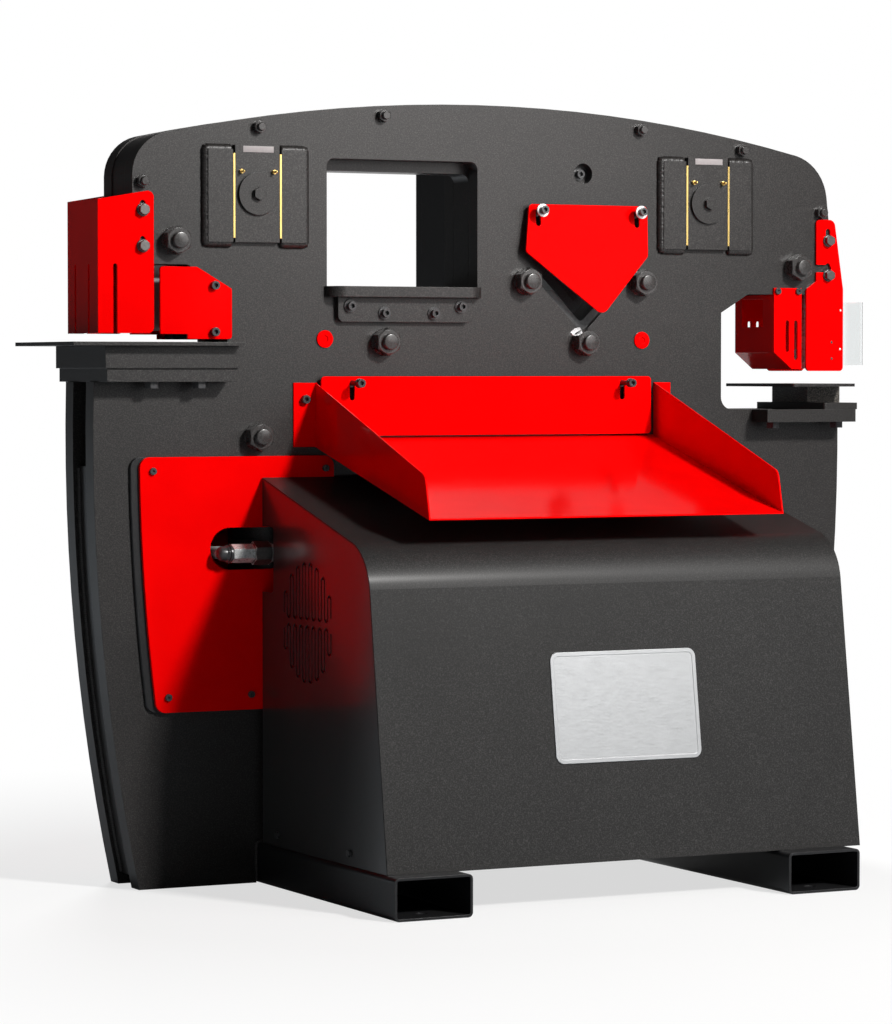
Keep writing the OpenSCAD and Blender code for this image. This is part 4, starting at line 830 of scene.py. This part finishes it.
class Workshop:
    """Holds the built finishes and the node trees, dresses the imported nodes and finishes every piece."""

    def __init__(self) -> None:
        """Builds every finish and tree once."""
        self.materials = {coat: coat.value.build() for coat in Coat}
        self.scatter = ScatterTree()
        self.ripples = BeadTree()

    def dress_nodes(self) -> None:
        """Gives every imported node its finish."""
        for coat, nodes in NODE_COATS.items():
            for name in nodes:
                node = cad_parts[name]
                node.data.materials.clear()
                node.data.materials.append(self.materials[coat])
        LOG.info("dressed %d nodes", len(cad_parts))

    def settle(self, piece: bpy.types.Object, body: Body) -> None:
        """Lets a piece ride a body and logs its face count.

        Args:
            piece: the finished piece.
            body: the body that carries it.
        """
        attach(piece, body.value)
        LOG.info("%s: %d faces", piece.name, len(piece.data.polygons))

    def place(self, name: str, shape: Shape, coats: tuple[Coat, ...], body: Body, slot: str,
              sharp: float | None = SHARP) -> None:
        """Makes a piece of one shape.

        Args:
            name: the piece's name.
            shape: its shape, where it stands.
            coats: its finishes, by the faces' marks.
            body: the body that carries it.
            slot: not used.
            sharp: angle past which an edge stays sharp, or nothing for flat faces.
        """
        mesh = shape.mesh(name, sharp)
        for coat in coats:
            mesh.materials.append(self.materials[coat])
        self.settle(add_object(name, mesh), body)

    def spread(self, name: str, shape: Shape, places: list[Point], coat: Coat, body: Body, slot: str,
               sharp: float = SHARP, turn: Point = (0.0, 0.0, 0.0)) -> bpy.types.Object:
        """Makes a piece of one shape that is repeated.

        Args:
            name: the piece's name.
            shape: the shape, about the origin.
            places: where it is repeated.
            coat: its finish.
            body: the body that carries it.
            slot: not used.
            sharp: angle past which an edge stays sharp.
            turn: how each copy is turned.

        Returns:
            The piece.
        """
        pattern = add_object(name + "_pattern", shape.mesh(name + "_pattern", sharp))
        piece = points_object(name, places)
        self.scatter.grow(piece, {"Pattern": pattern, "Turn": turn, "Material": self.materials[coat]})
        bpy.data.objects.remove(pattern)
        self.settle(piece, body)
        return piece


def bow(z: float, inset: float = 0.0) -> float:
    """Half width of the bowed frame at a height.

    Args:
        z: the height in metres.
        inset: how far inside the edge a line runs alongside it.

    Returns:
        The half width in metres.
    """
    return FRAME_HALF - BOW_RADIUS + math.sqrt((BOW_RADIUS - inset) ** 2 - (z - BOW_HEIGHT) ** 2)


@dataclass
class NutSet:
    """Through bolts with a nut at both ends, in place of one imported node."""

    node: str
    places: list[Spot]
    flats: float
    nut: float
    washer: float
    washer_height: float
    shank: float
    sleeve: float
    end: float
    pitch: float = 3.0 * MM
    soft_share: float = 0.3
    sunk_share: float = 0.9

    def shape(self) -> Shape:
        """One bolt with its sleeve, washers, nuts and threaded ends, on the Y axis.

        Returns:
            The bolt's shape.
        """
        shape, half = Shape(), Shape()
        shape.lathe([(self.shank, face.plane()) for face in Face], sides=32)
        shape.lathe([(self.sleeve, face.inside()) for face in Face], sides=32)
        seat = -self.washer_height
        if self.washer_height > 0.0:
            soft = self.washer_height * self.soft_share
            half.lathe([(self.washer, 0.0), (self.washer, seat + soft), (self.washer - soft, seat)])
        half.hexagon(self.flats, seat, seat - self.nut)
        half.thread(self.shank, seat - self.nut * self.sunk_share, seat - self.nut - self.end, self.pitch)
        shape.on_both_faces(half)
        return shape

    def build(self, shop: Workshop) -> None:
        """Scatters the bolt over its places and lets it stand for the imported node.

        Args:
            shop: the workshop that finishes it.
        """
        piece = shop.spread(self.node + "_detailed", self.shape(), [(x, 0.0, z) for x, z in self.places],
                            Coat.NUT, Body.FRAME, "black_hardware", SHARP_NUT)
        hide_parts(self.node)


@dataclass
class Welds:
    """Fillet welds along some edges of the frame, as one piece."""

    name: str
    pitch: float
    radius: float
    thin: float
    gib_inner: float = 0.04905
    gib_width: float = 0.050
    gib_gap: float = 0.004
    spacer_inset: float = 0.012
    spacer_low: float = 0.025
    spacer_tops: Spot = (0.775, 0.835)
    spacer_steps: int = 24
    foot_width: float = 0.1524
    foot_low: float = 0.006
    width_swing: Spot = (0.93, 1.04)
    thin_swing: Spot = (0.9, 1.1)
    points: list[Point] = field(default_factory=list)
    edges: list[tuple[int, int]] = field(default_factory=list)

    def path(self, route: list[Point]) -> None:
        """Adds a run of weld.

        Args:
            route: the points that it runs through.
        """
        start = len(self.points)
        self.points += route
        self.edges += [(start + i, start + i + 1) for i in range(len(route) - 1)]

    def round_gibs(self) -> None:
        """Runs along the outer, top and bottom edges of every gib."""
        low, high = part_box("slide_gibs")
        for face in Face:
            y = face.plane()
            for x in GUIDES:
                for side in (-1.0, 1.0):
                    near = x + side * (self.gib_inner + self.gib_gap)
                    far = x + side * (self.gib_inner + self.gib_width)
                    self.path([(near, y, low.z), (far, y, low.z), (far, y, high.z), (near, y, high.z)])

    def along_edges(self) -> None:
        """Runs up both recessed edges between the side plates."""
        for side, top in zip((-1.0, 1.0), self.spacer_tops):
            rise = top - self.spacer_low
            heights = [self.spacer_low + rise * i / self.spacer_steps for i in range(self.spacer_steps + 1)]
            for face in Face:
                y = face.inside()
                self.path([(side * (bow(z) - self.spacer_inset), y, z) for z in heights])

    def round_feet(self) -> None:
        """Runs up and over each foot tube where it meets the side plates."""
        low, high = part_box("foot_tubes")
        for face in Face:
            y = face.plane()
            for left in (low.x, high.x - self.foot_width):
                right = left + self.foot_width
                self.path([(left, y, self.foot_low), (left, y, high.z), (right, y, high.z),
                           (right, y, self.foot_low)])

    def build(self, shop: Workshop) -> None:
        """Lays ripples along the runs that were added.

        Args:
            shop: the workshop that finishes the piece.
        """
        piece = points_object(self.name, self.points, self.edges)
        swings = zip(self.width_swing, self.thin_swing)
        least, most = ((wide, wide, self.thin * thin) for wide, thin in swings)
        shop.ripples.grow(piece, {"Pitch": self.pitch, "Radius": self.radius, "Least": least, "Most": most,
                                  "Material": shop.materials[Coat.CHARCOAL]})
        shop.settle(piece, Body.FRAME)


@dataclass
class BlankPlate:
    """A plain plate with round corners, and a raised rim if it has one, standing on a surface."""

    name: str
    middle: Point
    up: Point
    width: float
    height: float
    corner: float
    thickness: float
    rim: float
    coat: Coat
    slot: str
    body: Body
    right: Point = (1.0, 0.0, 0.0)
    wall_share: float = 0.75
    soft: float = 0.4 * MM
    rim_slope: float = 0.5 * MM
    field_share: float = 0.7
    least_corner: float = 0.2 * MM

    def outline(self, inset: float, steps: int = 8) -> list[Spot]:
        """The plate's outline, moved inwards.

        Args:
            inset: how far it is moved.
            steps: steps of each round corner.

        Returns:
            The outline's points along the plate's width and height.
        """
        half_x, half_y = self.width / 2.0 - self.corner, self.height / 2.0 - self.corner
        radius = max(self.corner - inset, self.least_corner)
        spare = self.corner - inset - radius
        result = []
        for corner, (sx, sy) in enumerate(((1, 1), (-1, 1), (-1, -1), (1, -1))):
            for i in range(steps + 1):
                angle = math.pi / 2.0 * (corner + i / steps)
                result.append((sx * (half_x + spare) + radius * math.cos(angle),
                               sy * (half_y + spare) + radius * math.sin(angle)))
        return result

    def build(self, shop: Workshop) -> None:
        """Makes the plate.

        Args:
            shop: the workshop that finishes it.
        """
        right, up = Vector(self.right).normalized(), Vector(self.up).normalized()
        out, middle = right.cross(up), Vector(self.middle)
        levels = [(0.0, 0.0), (0.0, self.thickness * self.wall_share), (self.soft, self.thickness)]
        if self.rim > 0.0:
            levels += [(self.rim, self.thickness),
                       (self.rim + self.rim_slope, self.thickness * self.field_share)]
        shape, rings = Shape(), []
        for inset, level in levels:
            places = [middle + right * a + up * b + out * level for a, b in self.outline(inset)]
            rings.append(shape.loop([tuple(place) for place in places]))
        shape.join(rings)
        shop.place(self.name, shape, (self.coat,), self.body, self.slot)


@dataclass
class GuardWashers:
    """Bright washers under the two screws that hold the tilted angle guard."""

    screws: Spot = (0.110, 0.327)
    guard_top: float = 1.275
    guard_stand: float = 0.010
    sheet: float = 0.004
    reach: float = 0.0188
    drop: float = 0.015
    tilt: float = math.radians(-6.0)
    outer: float = 12.8 * MM
    inner: float = 8.15 * MM
    height: float = 2.9 * MM
    soft: float = 0.5 * MM

    def places(self) -> list[Point]:
        """Where the washers stand on the tilted sheet.

        Returns:
            The places, one for each screw.
        """
        y, z = -self.sheet - self.reach, -self.drop
        cos, sin = math.cos(self.tilt), math.sin(self.tilt)
        front = Face.FRONT.plane() - self.guard_stand
        return [(x, front + y * cos - z * sin, self.guard_top + y * sin + z * cos) for x in self.screws]

    def build(self, shop: Workshop) -> None:
        """Scatters the washers over their places.

        Args:
            shop: the workshop that finishes them.
        """
        shape = Shape()
        shape.lathe([(self.inner, 0.0), (self.outer, 0.0), (self.outer, self.soft - self.height),
                     (self.outer - self.soft, -self.height), (self.inner, -self.height)], around=True)
        shop.spread("guard_washers", shape, self.places(), Coat.ZINC, Body.FRAME, "zinc_steel",
                    turn=(self.tilt, 0.0, 0.0))


@dataclass
class FlangeHeads:
    """Chamfered heads over the flange bolts of the sliding guards, on both faces of the frame."""

    places: tuple[Spot, ...] = ((-0.704, 1.184), (-0.704, 1.250), (0.772, 1.146), (0.772, 1.215))
    stand: float = 6.25 * MM
    flange: float = 12.15 * MM
    flange_height: float = 3.2 * MM
    flats: float = 18.3 * MM
    height: float = 12.2 * MM
    soft: float = 0.9 * MM
    sunk_share: float = 0.8

    def build(self, shop: Workshop) -> None:
        """Scatters the heads over their places.

        Args:
            shop: the workshop that finishes them.
        """
        half, shape = Shape(), Shape()
        half.lathe([(self.flange, 0.0), (self.flange, self.soft - self.flange_height),
                    (self.flange - 2.0 * self.soft, -self.flange_height)])
        half.hexagon(self.flats, -self.flange_height * self.sunk_share, -self.height)
        shape.on_both_faces(half, self.stand)
        shop.spread("flange_heads", shape, [(x, 0.0, z) for x, z in self.places], Coat.BOLT, Body.FRAME,
                    "black_hardware", SHARP_NUT)


@dataclass
class RivetSet:
    """Small domed rivets on the front of the punch guard."""

    name: str
    places: tuple[Spot, ...]
    height: float
    coat: Coat
    slot: str
    radius: float = 2.5 * MM
    steps: int = 6

    def build(self, shop: Workshop) -> None:
        """Scatters the rivets over their places.

        Args:
            shop: the workshop that finishes them.
        """
        shape = Shape()
        turns = [math.pi / 2.0 * i / self.steps for i in range(self.steps)]
        shape.lathe([(self.radius * math.cos(turn), -self.height * math.sin(turn)) for turn in turns],
                    sides=20)
        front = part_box("punch_guard")[0].y
        shop.spread(self.name, shape, [(x, front, z) for x, z in self.places], self.coat, Body.PUNCH_GUARD,
                    self.slot)


@dataclass
class LitBladePatch:
    """Bright ground-steel patch on the front plate below the opening's point: a painted highlight, the lit tip
    of the fixed angle blade, while the rest of the blades are painted in shade.
    """

    outline: tuple[Spot, ...] = (
        (0.1885, 1.0300), (0.1965, 1.0205), (0.2045, 1.0275), (0.2150, 1.0335), (0.2095, 1.0395),
        (0.1985, 1.0375))
    height: float = 1.6 * MM
    soft: float = 0.5 * MM

    def build(self, shop: Workshop) -> None:
        """Makes the patch one bevelled piece on the front plate.

        Args:
            shop: the workshop that finishes it.
        """
        shape, rings = Shape(), []
        corners = [Vector(corner) for corner in self.outline]
        middle = sum(corners, Vector((0.0, 0.0))) / len(corners)
        for inset, rise in ((0.0, 0.0), (0.0, self.height - self.soft), (self.soft, self.height)):
            moved = [corner + (middle - corner).normalized() * inset for corner in corners]
            rings.append(shape.loop([(x, Face.FRONT.plane() - rise, z) for x, z in moved]))
        shape.join(rings)
        # Bright ground steel on the front plate: painted highlight of the blade's lit tip.
        shop.place("angle_blade_corner", shape, (Coat.GROUND,), Body.FRAME, "tool_steel", None)


@dataclass
class CoverShadeStrip:
    """Black strip beside the curved edge of the cylinder covers, on both faces of the frame: painted shade,
    standing for the dark band of shade along the covers' edge.
    """

    low: float = 0.326
    high: float = 0.797
    inset: float = 0.086
    corner: float = 0.020
    width: float = 0.017
    height: float = 0.006
    soft: float = 0.002
    tuck: float = 0.001
    steps: int = 24
    corner_steps: int = 6

    def path(self) -> list[Spot]:
        """Follows the cover's edge from its top to its bottom, with round corners.

        Returns:
            X and Z of the points along the edge.
        """
        top, bottom = self.high - self.corner, self.low + self.corner
        turns = [math.pi / 2.0 * i / self.corner_steps for i in range(1, self.corner_steps)]
        bends = [(self.corner * (1.0 - math.cos(turn)), self.corner * math.sin(turn)) for turn in turns]
        heights = [top + (bottom - top) * i / self.steps for i in range(self.steps + 1)]
        points = [(a - bow(top, self.inset), top + b) for a, b in reversed(bends)]
        points += [(-bow(z, self.inset), z) for z in heights]
        return points + [(a - bow(bottom, self.inset), bottom - b) for a, b in bends]

    def build(self, shop: Workshop) -> None:
        """Makes both strips of painted shade one piece on the frame.

        Args:
            shop: the workshop that finishes it.
        """
        shape = Shape()
        profile = ((-self.width, 0.0), (-self.width, self.height - self.soft),
                   (self.soft - self.width, self.height), (self.tuck, self.height), (self.tuck, 0.0))
        for face in Face:
            shape.join([shape.loop([(x + a, face.plane() + face.value * b, z) for a, b in profile])
                        for x, z in self.path()])
        # Black strip of painted shade beside the covers.
        shop.place("cover_seals", shape, (Coat.BLACK,), Body.FRAME, "black_coat")


@dataclass
class RetainerRings:
    """Dark joint rings round the round retainers on the front slide blocks."""

    middle: float = 1.283
    gap: float = 1.3 * MM
    height: float = 0.5 * MM

    def build(self, shop: Workshop) -> None:
        """Scatters the rings over the front retainers.

        Args:
            shop: the workshop that finishes them.
        """
        shape = Shape()
        disc = GUIDES[0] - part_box("slide_retainers")[0].x
        wide, narrow = disc + self.gap, disc - self.gap
        shape.lathe([(wide, 0.0), (wide, -self.height), (narrow, -self.height)], sides=72)
        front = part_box("slide_blocks")[0].y
        shop.spread("retainer_rings", shape, [(x, front, self.middle) for x in GUIDES], Coat.BLACK, Body.BEAM,
                    "black_coat")


@dataclass
class PortRings:
    """Ribbed swivel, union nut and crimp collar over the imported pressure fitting, in millimetres along X."""

    middle: Spot = (0.060, 0.618)
    swivel: tuple[Spot, ...] = (
        (0.6, -570.0), (5.4, -569.6), (9.6, -568.0), (12.6, -565.0), (14.0, -560.8), (14.2, -554.4),
        (15.4, -553.2), (16.8, -551.4), (15.0, -549.8), (15.0, -549.0), (18.0, -547.6),
        (18.0, -545.4), (15.8, -544.4), (15.8, -543.0), (13.6, -541.5), (11.2, -541.2))
    nut_flats: float = 38.4
    nut: Spot = (-499.3, -465.8)
    collar: tuple[Spot, ...] = (
        (16.2, -466.2), (18.6, -465.2), (18.6, -463.2), (16.4, -461.2), (16.4, -455.0), (18.3, -453.0),
        (18.3, -450.8), (16.3, -449.8))

    def build(self, shop: Workshop) -> None:
        """Makes the rings one piece on the frame.

        Args:
            shop: the workshop that finishes it.
        """
        shape = Shape()
        shape.lathe([(radius * MM, x * MM) for radius, x in self.swivel])
        shape.mark(0)
        shape.hexagon(self.nut_flats * MM, self.nut[1] * MM, self.nut[0] * MM, both=True)
        shape.mark(1)
        shape.lathe([(radius * MM, x * MM) for radius, x in self.collar])
        shape.mark(2)
        y, z = self.middle
        shape.points = [(along, y + a, z + b) for a, along, b in shape.points]
        shop.place("port_rings", shape, (Coat.SCREW, Coat.BOLT, Coat.ZINC), Body.FRAME, "zinc_steel",
                   SHARP_FITTING)


@dataclass(frozen=True)
class Lamp:
    """A square area lamp that is aimed at the machine."""

    name: str
    place: Point
    power: float
    size: float
    colour: Point
    mirrored: bool = True

    def build(self, aim: Point) -> None:
        """Adds the lamp.

        Args:
            aim: where it points.
        """
        data = bpy.data.lights.new(self.name, "AREA")
        data.energy = self.power
        data.size = self.size
        data.color = self.colour
        lamp = bpy.data.objects.new(self.name, data)
        lamp.location = self.place
        lamp.visible_glossy = self.mirrored
        lamp.rotation_euler = (Vector(aim) - Vector(self.place)).to_track_quat("-Z", "Y").to_euler()
        bpy.context.scene.collection.objects.link(lamp)


@dataclass
class Studio:
    """Floor, lamps, world and the camera at the photograph's viewing angle."""

    eye: Point = (-3.4029, -6.5117, 0.9548)
    yaw: float = 26.7
    pitch: float = 2.08
    lens: float = 136.4
    sensor: float = 36.0
    far_clip: float = 60.0
    aim: Point = (0.0, 0.0, 0.75)
    lamps: tuple[Lamp, ...] = (
        Lamp("key_lamp", (2.2, -6.2, 4.8), 680.0, 0.8, (1.0, 0.985, 0.965)),
        Lamp("sheen_lamp", (0.8, -1.7, 1.6), 11.5, 1.2, (1.0, 0.98, 0.97)),
        Lamp("fill_lamp", (-3.2, -5.8, 2.8), 16.0, 3.0, (0.97, 0.985, 1.0)),
        Lamp("edge_lamp", (-2.4, 2.9, 0.35), 2.2, 0.8, (0.84, 0.92, 1.0)),
        Lamp("rear_lamp", (1.4, 4.8, 3.4), 260.0, 1.6, (1.0, 1.0, 1.0), False),
    )
    sky_fill: float = 0.04
    floor_reach: float = 30.0
    floor_drop: float = -0.5 * MM
    floor_bounce: Colour = (0.4, 0.43, 0.46, 1.0)
    floor_pale: Colour = (0.86, 0.86, 0.86, 1.0)
    # The white in the floor: its share near the machine and far from it, then those two distances.
    floor_fade: tuple[float, float, float, float] = (0.68, 1.0, 1.0, 2.2)
    # For each axis of a mirrored ray: the white's share at two directions, then those directions.
    mirrored: tuple[tuple[str, float, float, float, float], ...] = (
        ("X", 0.03, 1.0, 0.0, 0.5), ("Y", 0.12, 1.0, -0.4, 0.3), ("Z", 1.0, 0.0, 0.05, 0.35))

    def camera(self) -> None:
        """Adds the camera."""
        lens = bpy.data.cameras.new("camera")
        lens.lens = self.lens
        lens.sensor_width = self.sensor
        lens.sensor_fit = "AUTO"
        lens.clip_end = self.far_clip
        eye = bpy.data.objects.new("camera", lens)
        eye.location = self.eye
        eye.rotation_euler = Euler((math.radians(90.0 - self.pitch), 0.0, math.radians(-self.yaw)))
        bpy.context.scene.collection.objects.link(eye)
        bpy.context.scene.camera = eye

    def seen(self, desk: Desk, way: Socket) -> Socket:
        """How much of the plain white a ray sees: all of it, and mirrored rays only what stands behind.

        Args:
            desk: the tree of the world or of the floor.
            way: direction in which the ray leaves the machine.

        Returns:
            The share's socket.
        """
        rays = desk.add("ShaderNodeLightPath").outputs
        parts = desk.add("ShaderNodeSeparateXYZ")
        desk.link(way, parts.inputs[0])
        last = rays["Is Glossy Ray"]
        for axis, *shares in self.mirrored:
            last = desk.join("MULTIPLY", last, desk.span(parts.outputs[axis], *shares))
        for kind in ("Is Camera Ray", "Is Transmission Ray"):
            last = desk.join("MAXIMUM", last, rays[kind])
        return last

    def world(self) -> None:
        """Adds a world that is white behind the machine and a soft fill elsewhere."""
        world = bpy.data.worlds.new("studio_world")
        world.use_nodes = True
        desk = Desk(world.node_tree)
        way = desk.add("ShaderNodeTexCoord").outputs["Generated"]
        sky = desk.add("ShaderNodeBackground", Color=WHITE)
        desk.link(desk.span(self.seen(desk, way), self.sky_fill, 1.0, 0.0, 1.0), sky.inputs["Strength"])
        desk.link(sky.outputs[0], desk.add("ShaderNodeOutputWorld").inputs[0])
        bpy.context.scene.world = world

    def floor(self) -> None:
        """Adds a pale floor that keeps the shadow and fades to white away from the machine."""
        reach = self.floor_reach
        corners = [(x * reach, y * reach, self.floor_drop) for x, y in ((-1, -1), (1, -1), (1, 1), (-1, 1))]
        mesh = bpy.data.meshes.new("studio_floor")
        mesh.from_pydata(corners, [], [(0, 1, 2, 3)])
        desk = MaterialDesk("studio_floor")
        place = desk.add("ShaderNodeTexCoord").outputs["Object"]
        length = desk.add("ShaderNodeVectorMath", operation="LENGTH")
        way = desk.add("ShaderNodeVectorMath", operation="NORMALIZE")
        desk.link(place, length.inputs[0])
        desk.link(place, way.inputs[0])
        seen = self.seen(desk, way.outputs["Vector"])
        desk.set(Base_Color=desk.blend(seen, self.floor_bounce, self.floor_pale), Roughness=0.9,
                 Specular_IOR_Level=0.1)
        share = desk.join("MULTIPLY", desk.span(length.outputs["Value"], *self.floor_fade), seen)
        white = desk.add("ShaderNodeEmission", Color=WHITE, Strength=1.0)
        mix = desk.add("ShaderNodeMixShader")
        for number, source in enumerate((share, desk.shader.outputs[0], white.outputs[0])):
            desk.link(source, mix.inputs[number])
        desk.link(mix.outputs[0], desk.output.inputs["Surface"])
        mesh.materials.append(desk.material)
        add_object("studio_floor", mesh)

    def build(self) -> None:
        """Sets up the whole studio."""
        bpy.context.scene.view_settings.view_transform = "Standard"
        self.camera()
        self.world()
        self.floor()
        for lamp in self.lamps:
            lamp.build(self.aim)
        LOG.info("studio ready")


TIE_PLACES: list[Spot] = [
    (-0.640, 1.195), (0.699, 1.161), (-0.475, 0.833), (-0.21271, 1.010), (0.090, 1.127), (0.344, 1.127),
    (0.217, 1.010)]
STUD_INSET = 0.019
LEFT_JAW_REACH = 0.722
SIDE_STUD_SHARES: Spot = (0.8906, 0.8694)
ARCH_STUD_SHARES = (-0.5875, -0.2675, 0.429, 0.715)
STRIP_OFFSET = 0.002
STRIP_HEIGHT = 1.3655
HOOD_FOOT: Point = (0.027, -0.454, 0.0762)
HOOD_LEAN: Point = (0.0, 0.079, 0.5588)
HOOD_PLATE_RISE = 0.278


def stud_places() -> list[Spot]:
    """Places of the studs along the arched edge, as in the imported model.

    Returns:
        X and Z of each stud, from left to right.
    """
    left, right = (share * FRAME_HEIGHT for share in SIDE_STUD_SHARES)
    places = [(STUD_INSET - LEFT_JAW_REACH, left)]
    for share in ARCH_STUD_SHARES:
        x = share * FRAME_HALF
        places.append((x, FRAME_HEIGHT - ARCH_RADIUS + math.sqrt(ARCH_RADIUS ** 2 - x ** 2) - STUD_INSET))
    return places + [(bow(right) - STUD_INSET, right)]


def guide_strips() -> list[BlankPlate]:
    """Blank strips at the top of both front slide blocks.

    Returns:
        The left and the right strip.
    """
    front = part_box("slide_blocks")[0].y
    return [BlankPlate(name, (x + STRIP_OFFSET, front, STRIP_HEIGHT), (0.0, 0.0, 1.0), width=0.062,
                       height=0.0115, corner=0.6 * MM, thickness=0.5 * MM, rim=0.0, coat=Coat.STRIP,
                       slot="black_coat", body=Body.BEAM)
            for name, x in zip(("left_guide_strip", "right_guide_strip"), GUIDES)]


def hood_plate() -> BlankPlate:
    """A blank plate on the sloping front of the hood.

    Returns:
        The plate.
    """
    lean = Vector(HOOD_LEAN).normalized()
    middle = Vector(HOOD_FOOT) + lean * HOOD_PLATE_RISE
    return BlankPlate("hood_blank_plate", tuple(middle), tuple(lean), width=0.300, height=0.200, corner=0.016,
                      thickness=2.4 * MM, rim=7.0 * MM, coat=Coat.BARE_PLATE, slot="zinc_steel",
                      body=Body.FRAME)


def main() -> None:
    """Builds every piece in order."""
    logging.basicConfig(level=logging.INFO, format="%(name)s: %(message)s")
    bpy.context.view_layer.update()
    shop = Workshop()
    shop.dress_nodes()
    gib_welds = Welds("gib_welds", pitch=1.9 * MM, radius=10.5 * MM, thin=0.55)
    gib_welds.round_gibs()
    frame_welds = Welds("frame_welds", pitch=3.6 * MM, radius=5.5 * MM, thin=0.6)
    frame_welds.along_edges()
    frame_welds.round_feet()
    pieces = [
        NutSet("tie_bolts", TIE_PLACES, flats=0.046, nut=0.024, washer=0.025, washer_height=0.004,
               shank=0.015, sleeve=0.019, end=0.010),
        NutSet("perimeter_studs", stud_places(), flats=0.022, nut=0.013, washer=0.0, washer_height=0.0,
               shank=0.008, sleeve=0.013, end=0.007),
        gib_welds,
        frame_welds,
        *guide_strips(),
        hood_plate(),
        GuardWashers(),
        FlangeHeads(),
        RivetSet("shield_rivets", ((0.8018, 1.0763), (0.8010, 0.9988)), height=1.4 * MM, coat=Coat.ZINC,
                 slot="zinc_steel"),
        RivetSet("guard_plugs", ((0.7816, 1.0122), (0.7817, 0.9799)), height=0.6 * MM, coat=Coat.SCREW,
                 slot="black_hardware"),
        PortRings(),
        LitBladePatch(),
        CoverShadeStrip(),
        RetainerRings(),
    ]
    for piece in pieces:
        piece.build(shop)
    Studio().build()


if __name__ == "__main__":
    main()
